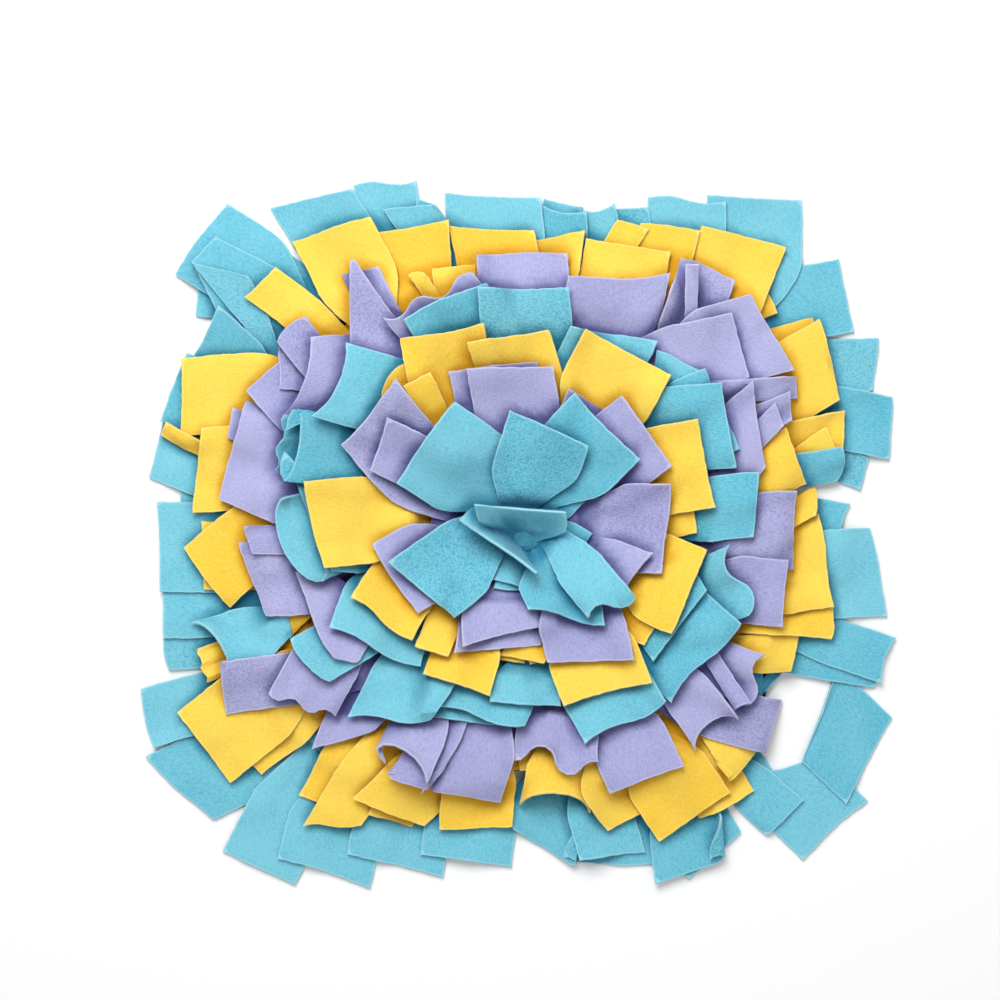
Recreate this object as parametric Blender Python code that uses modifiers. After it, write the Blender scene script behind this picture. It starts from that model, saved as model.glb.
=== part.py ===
"""A snuffle mat: rings of cut fleece petals, sewn by their roots to a felt base.

The tables are in millimetres, the model is in metres. +Z is up and the origin is under the middle of
the base, on the floor. Each ring is one solid: a seam band that follows the ring's path, with the
petals fused to it at their roots. The petals are laid one at a time, from the outermost ring inwards
and from the lowest layer up, each one draped over what already lies there.
"""

import math
from collections import namedtuple

import bmesh
import bpy
import numpy as np

MM = 0.001

BASE_HALF = 143.0  # half the side of the felt base
BASE_CORNER = 46.0  # its corner radius
BASE_THICK = 3.0
FLEECE_THICK = 1.5
BAND_WIDTH = 8.0  # the seam: the strips' folded roots under their stitches
BAND_HEIGHT = 6.0
SEAT_GAP = 0.3  # between a band and the base
BAND_FLOOR = BASE_THICK + SEAT_GAP
PETAL_GAP = 0.4  # between a petal and what it lies on
SIDE_BY_SIDE = 1.5  # roots further apart than this many widths can't touch
ROOT_ZONE = 15.0  # petals of one ring may merge this close to their seam
ALONG_SEAM = 0.35  # how far a root lies along its seam rather than square to its petal
ROOT_SHARE = 0.4  # and no further than this share of their length
ROOT_LOWEST = 0.95  # middle of the lowest root over the band's underside
ROOT_STEP = 2.0
SPREAD_TURNS = 300
ROOT_LEVELS = 3  # heights at which roots leave a seam, so that neighbours cross cleanly
ROOT_CROWDING = 0.97  # share of a seam that its roots may take up in all
ROOT_NUDGE = 0.4  # share of a crowding that each of two neighbours gives way in a round
LONGEST_REACH = 80.0  # a root is looked for within about this distance of the cut end
SHORTEST_REACH = 8.0
ROOT_SEARCH = 0.5  # between the places that are tried for a root, on each of which a cost is put:
COST_TOO_FAR = 1.2  # for each mm of reach beyond the longest
COST_REACH = 0.1  # for each mm of reach
COST_BACKWARDS = 200.0  # for a root that the petal doesn't point away from
ROOT_TANGENT = 1.0  # the seam's direction at a root is taken between points this far to each side
BEND = 1 / 90.0  # how fast a petal falls away from what holds it up, per mm squared

OUTLINE_STEP = 16.0  # between the points of a rounded corner
FEWEST_TURNS = 6  # in a rounded corner
SAME_PLACE = 0.01  # two points of an outline closer than this are one
WELD = 0.01  # so are two points of a flat piece's rim
CELL = 1.25  # grid of the height map
MAP_HALF = 290.0
SAMPLES = 10  # per facet edge, for the clearance of a petal
TURNS = 40  # rounds of lifting a petal clear
EASY_TURNS = 20  # the first of them, in which it also spans hollows
LEAST_WEIGHT = 0.1  # so that a facet whose held corner is short isn't thrown up
CLEAR_ENOUGH = 0.02
EASE = 0.6  # share of a shortfall that is made up in each round
DRAPE = 0.1  # share of a hollow that the cloth spans in each round
FALL = 0.9  # steepest slope at which the cloth drops from what holds it up
WIDENS = 0.6  # share of a petal's length over which it spreads from its root to its full width
RELIEF_POWER = 3  # a petal is flat at its root, and its fold grows with this power of the way along
STRAIGHT = 0.01  # a fold's arc below this many radians counts as none

# The tip is the middle of a petal's cut end, heading the way it points there, in degrees from +X.
Petal = namedtuple("Petal", "tip_x tip_y heading width fold")
Root = namedtuple("Root", "place width height")
# half, corner: the rounded square that the seam follows. root: width of a gathered root. spacing: least
# distance between roots, where there is room. lift: how loosely the ring's petals lie, 1 being usual.
Ring = namedtuple("Ring", "name half corner root spacing lift colour petals")

# arc: angle of the cross-section to each side, + with the middle up. lean: roll of the cut end, + with
# its left side up. curl: how far the cut end turns up. lift: height of the cut end over its support.
# along, across: facets over the length and the width. All angles in degrees.
Fold = namedtuple("Fold", "arc lean curl lift along across")
FOLDS = {
    "flat": Fold(8, 0, 0, 3, 4, 2),
    "low": Fold(4, 0, 0, 0.5, 3, 2),
    "bowed": Fold(32, 0, 0, 3, 4, 2),
    "cupped": Fold(-30, 0, 0, 4, 4, 2),
    "trough": Fold(-62, 0, 0, 4, 4, 2),
    "tented": Fold(55, 0, 0, 4, 4, 2),
    "arched": Fold(78, 0, 0, 3, 4, 4),
    "rolled": Fold(88, 0, 0, 4, 4, 4),
    "leans_left": Fold(-12, -16, 0, 3, 4, 2),
    "leans_right": Fold(-12, 16, 0, 3, 4, 2),
    "curled": Fold(6, 0, 75, 3, 4, 2),
    "pointed": Fold(50, 0, 0, 7, 4, 2),
    "standing": Fold(-14, 0, 0, 14, 2, 2),
}
ROW_CROWDING = 1.25  # the rows of a petal lie closer together towards its root
CURL_LENGTH = 15.0  # of the strip that turns up


OUTER_PETALS = (
    (-194, 151, 175, 49, "flat"),
    (-193, 173, 144, 53, "flat"),
    (-190, 166, 138, 21, "low"),
    (-180, 154, 105, 34, "flat"),
    (-190, 115, 152, 40, "flat"),
    (-205, 14, 179, 45, "low"),
    (-217, 55, 167, 50, "flat"),
    (-209, 85, 159, 44, "flat"),
    (-214, -69, 185, 30, "cupped"),
    (-215, -41, 184, 47, "flat"),
    (-217, -10, 184, 54, "flat"),
    (-181, -68, 215, 33, "rolled"),
    (-206, -154, 225, 55, "flat"),
    (-225, -112, 193, 36, "cupped"),
    (-158, -201, 244, 48, "flat"),
    (-119, -203, 255, 58, "flat"),
    (-77, -199, 257, 59, "flat"),
    (-35, -196, 261, 55, "bowed"),
    (52, -199, 269, 49, "low"),
    (12, -187, 240, 43, "arched"),
    (52, -193, 273, 40, "flat"),
    (113, -194, 313, 43, "bowed"),
    (97, -201, 289, 44, "arched"),
    (184, -178, 311, 53, "flat"),
    (155, -171, 316, 31, "flat"),
    (204, -137, 329, 59, "flat"),
    (211, -84, 344, 21, "low"),
    (214, -77, 341, 29, "flat"),
    (190, -4, 354, 40, "cupped"),
    (211, -25, 13, 54, "flat"),
    (196, 31, 323, 22, "leans_left"),
    (185, 38, 356, 19, "arched"),
    (209, 98, 352, 32, "low"),
    (218, 60, 356, 38, "flat"),
    (191, 139, 12, 45, "flat"),
    (136, 197, 85, 57, "flat"),
    (96, 196, 87, 47, "bowed"),
    (60, 191, 89, 27, "low"),
    (23, 194, 77, 24, "low"),
    (44, 191, 104, 20, "bowed"),
    (23, 190, 84, 28, "cupped"),
    (-19, 198, 88, 58, "flat"),
    (-83, 206, 92, 38, "cupped"),
    (-59, 195, 75, 13, "low"),
    (-69, 191, 98, 31, "flat"),
    (-127, 197, 101, 51, "bowed"),
)

YELLOW_OUTER_PETALS = (
    (147, 135, 27, 15, "low"),
    (130, 174, 76, 52, "flat"),
    (86, 180, 83, 36, "low"),
    (64, 181, 73, 20, "low"),
    (61, 168, 85, 51, "flat"),
    (20, 174, 101, 32, "low"),
    (-20, 178, 87, 51, "flat"),
    (-67, 179, 97, 45, "bowed"),
    (-42, 155, 99, 26, "flat"),
    (-156, 146, 137, 26, "flat"),
    (-115, 178, 110, 49, "bowed"),
    (-182, 82, 173, 46, "low"),
    (-203, 78, 179, 47, "flat"),
    (-214, 60, 157, 9, "leans_right"),
    (-194, 35, 175, 51, "flat"),
    (-191, -15, 185, 41, "low"),
    (-189, -29, 215, 45, "flat"),
    (-191, -80, 195, 21, "curled"),
    (-159, -80, 248, 11, "leans_left"),
    (-173, -127, 220, 50, "low"),
    (-190, -129, 216, 53, "flat"),
    (-119, -163, 253, 33, "low"),
    (-114, -175, 274, 35, "bowed"),
    (-80, -172, 253, 28, "low"),
    (-81, -167, 247, 46, "bowed"),
    (-29, -177, 272, 44, "flat"),
    (18, -160, 266, 41, "arched"),
    (74, -165, 294, 57, "flat"),
    (120, -164, 296, 37, "low"),
    (100, -169, 303, 52, "flat"),
    (130, -137, 317, 30, "rolled"),
    (160, -72, 350, 24, "bowed"),
    (181, -53, 0, 22, "curled"),
    (178, -18, 10, 56, "bowed"),
    (177, 100, 12, 54, "low"),
    (181, 101, 14, 50, "flat"),
    (189, 59, 0, 24, "flat"),
    (182, 52, 27, 21, "low"),
    (159, 44, 19, 36, "bowed"),
    (173, 16, 0, 15, "rolled"),
)

LAVENDER_OUTER_PETALS = (
    (-2, 163, 94, 54, "flat"),
    (55, 148, 91, 60, "bowed"),
    (108, 154, 69, 35, "flat"),
    (97, 155, 80, 9, "leans_left"),
    (145, 116, 30, 52, "flat"),
    (126, 108, 18, 40, "flat"),
    (160, 84, 5, 14, "low"),
    (156, 73, 4, 18, "low"),
    (149, 68, 23, 15, "low"),
    (136, 62, 12, 51, "flat"),
    (158, 0, 358, 47, "low"),
    (152, -37, 355, 40, "cupped"),
    (147, -116, 340, 33, "low"),
    (135, -88, 336, 32, "arched"),
    (127, -103, 298, 10, "bowed"),
    (110, -117, 311, 31, "arched"),
    (71, -146, 293, 47, "flat"),
    (18, -135, 255, 49, "arched"),
    (-35, -157, 260, 42, "flat"),
    (-68, -147, 252, 26, "low"),
    (-72, -138, 247, 35, "arched"),
    (-107, -124, 283, 39, "flat"),
    (-178, -93, 187, 32, "low"),
    (-131, -103, 253, 41, "cupped"),
    (-161, -29, 201, 47, "flat"),
    (-163, -6, 201, 18, "low"),
    (-124, -50, 207, 56, "flat"),
    (-174, 63, 175, 19, "low"),
    (-173, 47, 164, 61, "flat"),
    (-154, 91, 132, 28, "flat"),
    (-144, 96, 184, 27, "low"),
    (-138, 119, 133, 23, "cupped"),
    (-132, 89, 163, 50, "bowed"),
    (-97, 153, 97, 23, "low"),
    (-101, 157, 104, 10, "pointed"),
    (-56, 136, 115, 59, "curled"),
)

TURQUOISE_INNER_PETALS = (
    (-47, 134, 115, 53, "cupped"),
    (-1, 141, 93, 54, "flat"),
    (89, 100, 63, 28, "low"),
    (52, 115, 80, 52, "flat"),
    (115, 71, 22, 52, "low"),
    (118, 61, 11, 51, "flat"),
    (135, 15, 355, 39, "flat"),
    (125, -29, 13, 43, "trough"),
    (105, -77, 319, 62, "bowed"),
    (90, -56, 325, 53, "flat"),
    (59, -113, 297, 54, "flat"),
    (-29, -113, 263, 52, "low"),
    (-28, -109, 260, 57, "flat"),
    (0, -102, 265, 42, "flat"),
    (-80, -111, 272, 50, "bowed"),
    (-88, -69, 245, 58, "flat"),
    (-127, -77, 221, 31, "trough"),
    (-132, -7, 217, 52, "curled"),
    (-124, 3, 203, 58, "low"),
    (-136, 50, 170, 42, "rolled"),
    (-112, 87, 158, 48, "cupped"),
)

YELLOW_INNER_PETALS = (
    (-79, 87, 150, 26, "arched"),
    (-48, 115, 102, 50, "flat"),
    (-63, 88, 119, 18, "flat"),
    (-10, 113, 98, 49, "flat"),
    (60, 104, 62, 57, "bowed"),
    (99, 21, 5, 46, "low"),
    (105, 39, 12, 53, "flat"),
    (81, -47, 332, 47, "low"),
    (96, -36, 339, 54, "bowed"),
    (48, -95, 286, 54, "flat"),
    (-2, -76, 256, 27, "low"),
    (-40, -90, 254, 41, "cupped"),
    (-55, -71, 254, 21, "tented"),
    (-84, -52, 234, 44, "flat"),
    (-124, 3, 196, 52, "bowed"),
)

LAVENDER_INNER_PETALS = (
    (-19, 96, 98, 53, "low"),
    (-9, 95, 92, 51, "flat"),
    (-90, 68, 139, 50, "flat"),
    (-85, 50, 159, 33, "leans_right"),
    (-77, -29, 216, 49, "bowed"),
    (42, 73, 57, 40, "low"),
    (71, 58, 37, 51, "flat"),
    (82, 1, 351, 53, "cupped"),
    (66, -25, 324, 29, "arched"),
    (-16, -70, 275, 51, "low"),
    (-11, -61, 282, 53, "curled"),
    (38, -77, 274, 51, "flat"),
)

TUFT_PETALS = (
    (-59, 52, 144, 59, "bowed"),
    (47, 60, 46, 55, "flat"),
    (14, 60, 67, 51, "bowed"),
    (-61, -35, 227, 51, "flat"),
    (25, -50, 259, 40, "low"),
    (50, -44, 297, 28, "trough"),
    (-16, -9, 235, 55, "standing"),
    (-3, 13, 84, 54, "standing"),
)


RINGS = (
    # outermost first, the order in which they are laid
    Ring("ring_outer_turquoise", 137, 44, 18, 20, 0.3, "turquoise", OUTER_PETALS),
    Ring("ring_outer_yellow", 115, 70, 17, 19, 0.7, "yellow", YELLOW_OUTER_PETALS),
    Ring("ring_outer_lavender", 95, 80, 15, 17, 1.0, "lavender", LAVENDER_OUTER_PETALS),
    Ring("ring_inner_turquoise", 72, 72, 18, 20, 1.0, "turquoise", TURQUOISE_INNER_PETALS),
    Ring("ring_inner_yellow", 51, 51, 18, 20, 1.0, "yellow", YELLOW_INNER_PETALS),
    Ring("ring_inner_lavender", 29, 29, 19, 15, 1.0, "lavender", LAVENDER_INNER_PETALS),
    Ring("centre_tuft", 9, 9, 14, 4, 1.3, "turquoise", TUFT_PETALS),
)

COLOURS = {
    # linear red, green, blue and alpha
    "turquoise": (0.18, 0.58, 0.74, 1.0),
    "yellow": (0.93, 0.66, 0.10, 1.0),
    "lavender": (0.38, 0.37, 0.66, 1.0),
    "felt": (0.012, 0.012, 0.014, 1.0),
}
FABRIC_ROUGHNESS = 0.95


def unit(vector):
    return vector / np.maximum(np.linalg.norm(vector, axis=-1, keepdims=True), 1e-9)


def beyond(x, y, half, corner):
    """How far places lie outside a rounded square; inside it the distance is negative."""
    x, y = np.abs(x) - (half - corner), np.abs(y) - (half - corner)
    return np.hypot(np.maximum(x, 0), np.maximum(y, 0)) + np.minimum(np.maximum(x, y), 0) - corner


def rounded_square(half, corner, step=OUTLINE_STEP):
    """Points round a square with rounded corners, counter-clockwise, as rows of x, y."""
    turns = max(FEWEST_TURNS, round(corner * math.pi / 2 / step))
    points = []
    for quarter in range(4):
        middle = math.pi / 4 + quarter * math.pi / 2
        centre = (half - corner) * math.sqrt(2) * np.array([math.cos(middle), math.sin(middle)])
        for turn in range(turns + 1):
            angle = (quarter + turn / turns) * math.pi / 2
            points.append(centre + corner * np.array([math.cos(angle), math.sin(angle)]))
    points = np.array(points)
    apart = np.linalg.norm(points - np.roll(points, 1, axis=0), axis=1)
    return points[apart > SAME_PLACE]


class Seam:
    """The path of a ring's seam, measured along its length."""

    def __init__(self, half, corner):
        outline = rounded_square(half, corner)
        self.points = np.vstack([outline, outline[:1]])
        steps = np.linalg.norm(np.diff(self.points, axis=0), axis=1)
        self.marks = np.concatenate([[0.0], np.cumsum(steps)])
        self.length = self.marks[-1]

    def at(self, distance):
        distance = np.mod(distance, self.length)
        x = np.interp(distance, self.marks, self.points[:, 0])
        y = np.interp(distance, self.marks, self.points[:, 1])
        return np.stack([x, y], axis=-1)

    def root_of(self, tip, heading):
        """Where a strip that ends at tip, pointing along heading, leaves the seam."""
        distance = np.arange(0.0, self.length, ROOT_SEARCH)
        away = tip - self.at(distance)
        reach = np.linalg.norm(away, axis=1)
        forward = away @ heading
        aside = np.abs(away[:, 0] * heading[1] - away[:, 1] * heading[0])
        cost = aside + COST_TOO_FAR * np.maximum(0, reach - LONGEST_REACH) + COST_REACH * reach
        cost += np.where(forward < SHORTEST_REACH, COST_BACKWARDS, 0.0)
        return distance[np.argmin(cost)]


class HeightMap:
    """How high the pile stands in each cell of a square grid."""

    def __init__(self):
        self.size = int(2 * MAP_HALF / CELL)
        self.top = np.full((self.size, self.size), -PETAL_GAP)

    def cells(self, points):
        places = ((points[..., :2] + MAP_HALF) / CELL).astype(int)
        return np.clip(places, 1, self.size - 2)

    def under(self, points):
        cells = self.cells(points)
        return self.top[cells[..., 0], cells[..., 1]]

    def cover(self, half, corner, width, height):
        """Raise the cells within a rounded square, or no further than width inside its outline."""
        middles = (np.arange(self.size) + 0.5) * CELL - MAP_HALF
        x, y = np.meshgrid(middles, middles, indexing="ij")
        out = beyond(x, y, half, corner)
        covered = (out < CELL) & (out > -width - CELL)
        self.top[covered] = np.maximum(self.top[covered], height)

    def cover_band(self, ring):
        edge = BAND_WIDTH / 2
        self.cover(ring.half + edge, ring.corner + edge, BAND_WIDTH, BAND_FLOOR + BAND_HEIGHT)

    def add(self, points):
        """Raise the map to these points, and the cells next to each of them."""
        points = points.reshape(-1, 3)
        cells = self.cells(points)
        for aside in (-1, 0, 1):
            for ahead in (-1, 0, 1):
                np.maximum.at(self.top, (cells[:, 0] + aside, cells[:, 1] + ahead), points[:, 2])


class Facets:
    """The facets of a petal of so many rows and columns, and sample points spread over them."""

    def __init__(self, along, across):
        self.along, self.across = along, across
        grid = self.grid()
        places = np.array([vert.co[:2] for vert in grid.verts])
        self.row = np.rint((places[:, 1] + 1) / 2 * along).astype(int)
        self.column = np.rint((places[:, 0] + 1) / 2 * across).astype(int)
        self.triangles = np.array([[vert.index for vert in face.verts] for face in grid.faces])
        grid.free()
        self.stations = (np.arange(along + 1) / along) ** ROW_CROWDING
        self.loose = (self.row > 0).astype(float)  # the root row is held by the seam
        steps = range(SAMPLES + 1)
        shares = [(a, b, SAMPLES - a - b) for a in steps for b in steps if a + b <= SAMPLES]
        self.shares = np.array(shares) / SAMPLES

    def grid(self):
        grid = bmesh.new()
        bmesh.ops.create_grid(grid, x_segments=self.across, y_segments=self.along, size=1.0)
        bmesh.ops.triangulate(grid, faces=grid.faces, quad_method="FIXED")
        grid.verts.ensure_lookup_table()
        grid.verts.index_update()
        return grid

    def samples(self, values):
        """What the vertices hold, carried over to the sample points: facet, sample, value."""
        return np.einsum("sk,fkd->fsd", self.shares, values[self.triangles])

    def rows(self, values):
        """Values of the vertices as a table of rows and columns."""
        table = np.zeros((self.along + 1, self.across + 1))
        table[self.row, self.column] = values
        return table

    def normals(self, points):
        """Normals of the vertices, each facet counted by its angle there."""
        corners = points[self.triangles]
        facing = unit(np.cross(corners[:, 1] - corners[:, 0], corners[:, 2] - corners[:, 0]))
        total = np.zeros_like(points)
        for corner in range(3):
            ahead = unit(corners[:, (corner + 1) % 3] - corners[:, corner])
            back = unit(corners[:, (corner + 2) % 3] - corners[:, corner])
            angle = np.arccos(np.clip((ahead * back).sum(axis=1), -1, 1))
            np.add.at(total, self.triangles[:, corner], facing * angle[:, None])
        return unit(total)

    def mesh(self, name, points):
        grid = self.grid()
        for vert, point in zip(grid.verts, points):
            vert.co = point * MM
        mesh = bpy.data.meshes.new(name)
        grid.to_mesh(mesh)
        grid.free()
        return mesh


def section(fold_arc, half, t):
    """Across a strip: how far aside and how high the point at t lies, t running from -1 to 1."""
    if abs(fold_arc) < STRAIGHT:
        return half * t, 0.0
    radius = half / math.sin(min(abs(fold_arc), math.pi / 2))
    aside = radius * math.sin(abs(fold_arc) * t)
    return aside, math.copysign(radius, fold_arc) * (math.cos(fold_arc * t) - 1)


def cut_end(petal):
    """The middle of a petal's cut end, and the direction in which the petal points there."""
    heading = math.radians(petal.heading)
    return np.array([petal.tip_x, petal.tip_y], float), np.array([math.cos(heading), math.sin(heading)])


def petal_plan(petal, root, seam, facets):
    """A petal's points before it is raised: x, y and its own relief, a row for each vertex."""
    fold = FOLDS[petal.fold]
    tip, heading = cut_end(petal)
    left = np.array([-heading[1], heading[0]])
    middle = seam.at(root.place)
    reach = np.linalg.norm(tip - middle)
    tangent = unit(seam.at(root.place + ROOT_TANGENT) - seam.at(root.place - ROOT_TANGENT))
    crosswise = np.array([middle[1] - tip[1], tip[0] - middle[0]]) / reach
    tangent = tangent * math.copysign(1.0, tangent @ crosswise)
    gathered = unit(tangent * ALONG_SEAM + crosswise * (1 - ALONG_SEAM))
    curl = math.radians(fold.curl)
    radius = CURL_LENGTH / curl if curl else 0.0
    straight = reach - radius * math.sin(curl)
    bend_at = straight / (straight + CURL_LENGTH) if curl else 1.0
    points = np.zeros((len(facets.row), 3))
    for vertex, (row, column) in enumerate(zip(facets.row, facets.column)):
        s = facets.stations[row]
        t = 2 * column / facets.across - 1
        turned = max(0.0, s - bend_at) / (1 - bend_at) * curl if curl else 0.0
        share = (straight * min(1.0, s / bend_at) + radius * math.sin(turned)) / reach
        grown = share**RELIEF_POWER
        spread = min(1.0, share / WIDENS)
        spread *= spread * (3 - 2 * spread)
        half = (root.width * (1 - spread) + petal.width * spread) / 2
        aside, relief = section(math.radians(fold.arc) * grown, half, t)
        relief += radius * (1 - math.cos(turned)) + aside * math.tan(math.radians(fold.lean) * grown)
        across = unit(gathered * (1 - share) + left * share)
        points[vertex, :2] = middle * (1 - share) + tip * share + across * aside
        points[vertex, 2] = relief
    points[:, 2] -= facets.rows(points[:, 2]).min(axis=1)[facets.row]
    return points


def shortfall(points, facets, near_root, pile, ring_pile):
    """How far each sample point of the petal's two faces is below where it may be."""
    normals = facets.normals(points)
    lacking = []
    for face in (-0.5, 0.5):
        skin = facets.samples(points + normals * face * FLEECE_THICK)
        under = pile.under(skin)
        under = np.where(near_root, under, np.maximum(under, ring_pile.under(skin)))
        lacking.append(under + PETAL_GAP - skin[:, :, 2])
    return np.maximum(*lacking)


def push_up(points, relief, places, facets, near_root, pile, ring_pile, drape):
    """Lift the points of a petal until its facets clear the pile, spanning the hollows between."""
    for turn in range(TURNS):
        lacking = shortfall(points, facets, near_root, pile, ring_pile)
        depth = lacking.max(axis=1)
        if depth.max() < CLEAR_ENOUGH:
            break
        share = facets.shares[lacking.argmax(axis=1)] * facets.loose[facets.triangles]
        weight = np.maximum((share**2).sum(axis=1), LEAST_WEIGHT)
        ease = EASE if turn < EASY_TURNS else 1.0
        lift = ease * np.maximum(depth, 0)[:, None] * share / weight[:, None]
        raised = np.zeros(len(points))
        np.maximum.at(raised, facets.triangles, lift)
        points[:, 2] += raised
        if turn < EASY_TURNS:
            table = facets.rows(points[:, 2] - relief)
            span = table.copy()
            span[1:-1] = (table[:-2] + table[2:]) / 2
            hollow = np.maximum(span - table, 0) * drape
            drop = FALL * np.diff(places)[:, None]
            hollow[1:] = np.maximum(hollow[1:], table[:-1] - drop - table[1:])
            points[:, 2] += hollow[facets.row, facets.column] * facets.loose


def lay(petal, ring, root, seam, facets, pile, ring_pile):
    """A petal's points once it lies on the pile of its ring, which it is then added to."""
    fold = FOLDS[petal.fold]
    points = petal_plan(petal, root, seam, facets)
    relief = points[:, 2].copy()
    path = np.column_stack([facets.rows(points[:, axis])[:, facets.across // 2] for axis in (0, 1)])
    places = np.concatenate([[0.0], np.cumsum(np.linalg.norm(np.diff(path, axis=0), axis=1))])
    fused = min(ROOT_ZONE, ROOT_SHARE * places[-1])
    near_root = facets.samples(places[facets.row][:, None])[:, :, 0] < fused
    under = np.maximum(pile.under(points), ring_pile.under(points)) + PETAL_GAP + FLEECE_THICK / 2
    lowest = facets.rows(under).min(axis=1)
    lowest[0] = root.height
    sag = lowest[None, :] - BEND * (places[:, None] - places[None, :]) ** 2
    rest = sag.max(axis=1)
    rest[0] = root.height
    points[:, 2] = relief * facets.loose + rest[facets.row]
    push_up(points, relief, places, facets, near_root, pile, ring_pile, DRAPE)
    swell = fold.lift * ring.lift * (places / places[-1]) ** 2
    points[:, 2] += swell[facets.row]
    push_up(points, relief, places, facets, near_root, pile, ring_pile, 0.0)
    normals = facets.normals(points)
    for face in (-0.5, 0.0, 0.5):
        ring_pile.add(facets.samples(points + normals * face * FLEECE_THICK))
    return points


def roots_of(petals, seam, width, spacing):
    """Where the petals leave their seam: side by side, each as near its own line as there is room."""
    places = np.array([seam.root_of(*cut_end(petal)) for petal in petals])
    order = np.argsort(places, kind="stable")
    pitch = ROOT_CROWDING * seam.length / len(petals)
    row = places[order]
    for _ in range(SPREAD_TURNS):
        gaps = np.append(row[1:], row[0] + seam.length) - row
        push = np.maximum(min(spacing, pitch) - gaps, 0) * ROOT_NUDGE
        row += np.roll(push, 1) - push
    places[order] = row
    roots = []
    half = seam.length / 2
    heights = [BAND_FLOOR + ROOT_LOWEST + level * ROOT_STEP for level in range(ROOT_LEVELS)]
    for place in places:
        apart = [abs((place - other.place + half) % seam.length - half) for other in roots]
        met = [other.height for other, away in zip(roots, apart) if away < SIDE_BY_SIDE * width]
        above = [height for height in heights if height > max(met, default=0)]
        free = [height for height in heights if height not in met]
        height = (above or free or heights)[0]
        roots.append(Root(place, width, height))
    return roots


def outline_curve(name, paths, thickness, height):
    """A flat piece cut along closed paths, as a mesh."""
    curve = bpy.data.curves.new(name, "CURVE")
    curve.dimensions = "2D"
    curve.fill_mode = "BOTH"
    curve.extrude = thickness / 2 * MM
    for path in paths:
        spline = curve.splines.new("POLY")
        spline.points.add(len(path) - 1)
        for place, (x, y) in zip(spline.points, path):
            place.co = (x * MM, y * MM, 0.0, 1.0)
        spline.use_cyclic_u = True
    guide = bpy.data.objects.new(name + "_outline", curve)
    bpy.context.scene.collection.objects.link(guide)
    bpy.context.view_layer.update()
    evaluated = guide.evaluated_get(bpy.context.evaluated_depsgraph_get())
    mesh = bpy.data.meshes.new_from_object(evaluated)
    bpy.data.objects.remove(guide, do_unlink=True)
    shape = bmesh.new()
    shape.from_mesh(mesh)
    bmesh.ops.remove_doubles(shape, verts=shape.verts, dist=WELD * MM)
    shape.to_mesh(mesh)
    shape.free()
    mesh.name = name
    piece = bpy.data.objects.new(name, mesh)
    piece.location.z = height * MM
    return piece


def fabric(name):
    material = bpy.data.materials.new(name)
    material.use_nodes = True
    shader = material.node_tree.nodes["Principled BSDF"]
    shader.inputs["Base Color"].default_value = COLOURS[name]
    shader.inputs["Roughness"].default_value = FABRIC_ROUGHNESS
    shader.inputs["Metallic"].default_value = 0.0
    return material


def collection(name, parent):
    made = bpy.data.collections.new(name)
    parent.children.link(made)
    return made


def base_panel(parts, material):
    outline = rounded_square(BASE_HALF, BASE_CORNER)
    piece = outline_curve("base_panel", [outline], BASE_THICK, BASE_THICK / 2)
    piece.data.materials.append(material)
    parts.objects.link(piece)


def build_ring(ring, parts, cutters, materials, pile, facets_of):
    """The seam band of a ring, with its petals fused to it at their roots."""
    seam = Seam(ring.half, ring.corner)
    half_band = BAND_WIDTH / 2
    inner = rounded_square(ring.half - half_band, ring.corner - half_band)
    outer = rounded_square(ring.half + half_band, ring.corner + half_band)
    band = outline_curve(ring.name, [outer, inner], BAND_HEIGHT, BAND_FLOOR + BAND_HEIGHT / 2)
    band.data.materials.append(materials[ring.colour])
    parts.objects.link(band)
    petals = collection(ring.name + "_petals", cutters)
    others = HeightMap()
    others.top[:] = pile.top
    for other in RINGS:
        if other.name != ring.name:
            others.cover_band(other)
    ring_pile = HeightMap()
    ring_pile.cover_band(ring)
    laid = [Petal(*row) for row in ring.petals]
    roots = roots_of(laid, seam, ring.root, ring.spacing)
    for number, (petal, root) in enumerate(zip(laid, roots), 1):
        facets = facets_of[petal.fold]
        points = lay(petal, ring, root, seam, facets, others, ring_pile)
        name = f"{ring.name}_petal_{number:02d}"
        strip = bpy.data.objects.new(name, facets.mesh(name, points))
        strip.data.materials.append(materials[ring.colour])
        strip.hide_render = True
        strip.display_type = "WIRE"
        petals.objects.link(strip)
        thick = strip.modifiers.new("Thickness", "SOLIDIFY")
        thick.thickness = FLEECE_THICK * MM
        thick.offset = 0.0
    np.maximum(pile.top, ring_pile.top, out=pile.top)
    fuse = band.modifiers.new("Roots", "BOOLEAN")
    fuse.operation = "UNION"
    fuse.operand_type = "COLLECTION"
    fuse.collection = petals
    fuse.solver = "EXACT"


def main():
    for item in list(bpy.data.objects):
        bpy.data.objects.remove(item, do_unlink=True)
    parts = collection("snuffle_mat", bpy.context.scene.collection)
    cutters = collection("petals", bpy.context.scene.collection)
    materials = {name: fabric(name) for name in COLOURS}
    base_panel(parts, materials["felt"])
    pile = HeightMap()
    pile.cover(BASE_HALF, BASE_CORNER, BASE_HALF, BASE_THICK)
    facets_of = {name: Facets(fold.along, fold.across) for name, fold in FOLDS.items()}
    for ring in RINGS:
        build_ring(ring, parts, cutters, materials, pile, facets_of)


main()
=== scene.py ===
import math
from collections import namedtuple

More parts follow.
